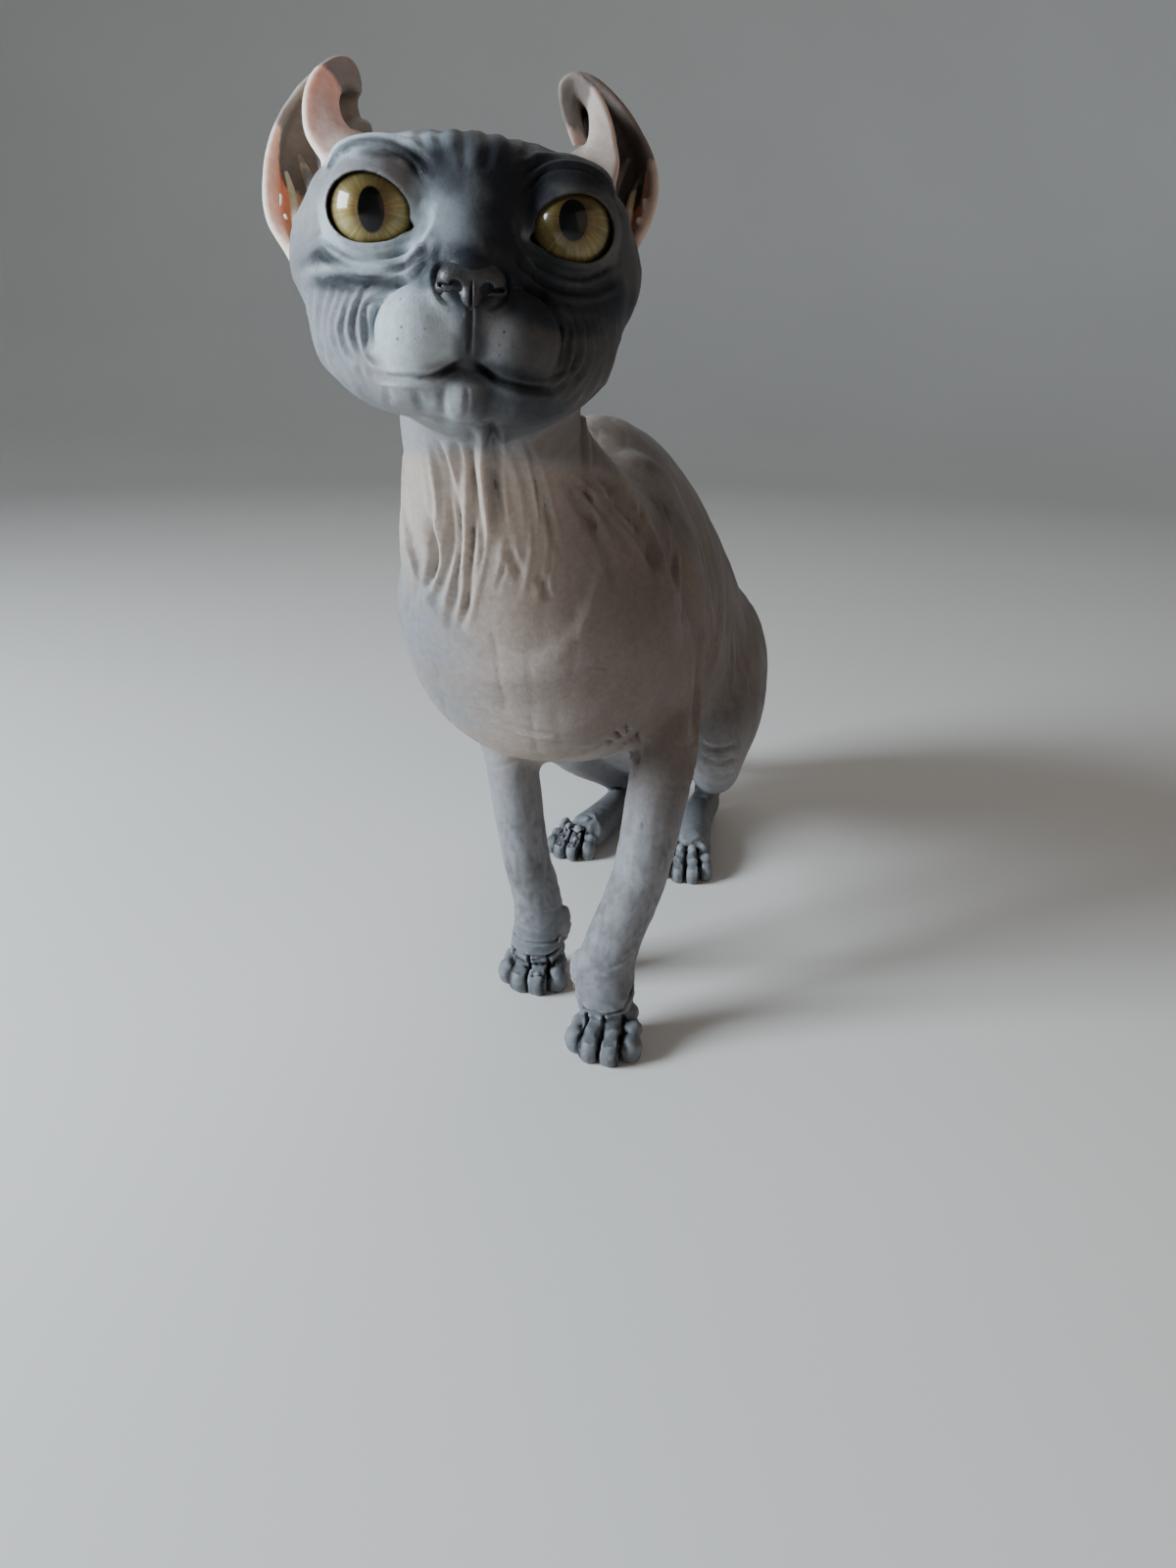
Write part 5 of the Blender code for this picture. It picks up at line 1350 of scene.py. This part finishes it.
DISH = ((0.0, 0.0), (1.0, 0.0), (1.9, 0.0), (2.36, 0.08), (2.75, 0.31), (2.98, 0.70), (3.1, 1.3), (3.15, 2.6))
DISH_SIDES = 96
dish_mesh = bmesh.new()
loops = [[dish_mesh.verts.new((radius * math.cos(math.tau * step / DISH_SIDES),
                               radius * math.sin(math.tau * step / DISH_SIDES), rise))
          for step in range(DISH_SIDES)] for radius, rise in DISH[1:]]
centre = dish_mesh.verts.new((0, 0, 0))
for step in range(DISH_SIDES):
    following = (step + 1) % DISH_SIDES
    dish_mesh.faces.new((centre, loops[0][step], loops[0][following]))
    for inner, outer in zip(loops, loops[1:]):
        dish_mesh.faces.new((inner[step], outer[step], outer[following], inner[following]))
floor_mesh = bpy.data.meshes.new("floor")
dish_mesh.to_mesh(floor_mesh)
dish_mesh.free()
floor = piece_of("floor", floor_mesh)
pale_paper, tree, shader = new_material("pale_paper", Roughness=0.9)
paper = add_node(tree, "TexNoise", add_node(tree, "TexCoord").outputs["Object"], Scale=3.0, Detail=2.0)
feed(shader, Base_Color=colour_ramp(tree, paper, (0.0, (0.71, 0.69, 0.66)), (1.0, (0.77, 0.75, 0.72))))
floor_mesh.materials.append(pale_paper)

LAMPS = (
    # name, place in m, aimed at, size, watts, colour
    ("window", (-1.12, -0.72, 0.66), (0.0, -0.1, 0.2), 0.60, 41.0, (0.80, 0.91, 1.0)),
    ("fill", (1.1, -0.7, 0.6), (0.0, -0.1, 0.2), 1.2, 1.9, (1.0, 0.70, 0.46)),
    ("top", (-0.1, 0.7, 1.4), (0.0, 0.0, 0.15), 1.2, 3.5, (1.0, 0.97, 0.93)),
)
for lamp_name, place, target, size, watts, colour in LAMPS:
    bpy.ops.object.light_add(type="AREA", location=place)
    lamp = bpy.context.object
    lamp.name = lamp_name
    lamp.rotation_euler = (Vector(target) - Vector(place)).to_track_quat("-Z", "Y").to_euler()
    lamp.data.size = size
    lamp.data.energy = watts
    lamp.data.color = colour
world = bpy.data.worlds.new("studio")
bpy.context.scene.world = world
world.use_nodes = True
feed(world.node_tree.nodes["Background"], Color=(0.80, 0.84, 0.90, 1), Strength=0.10)
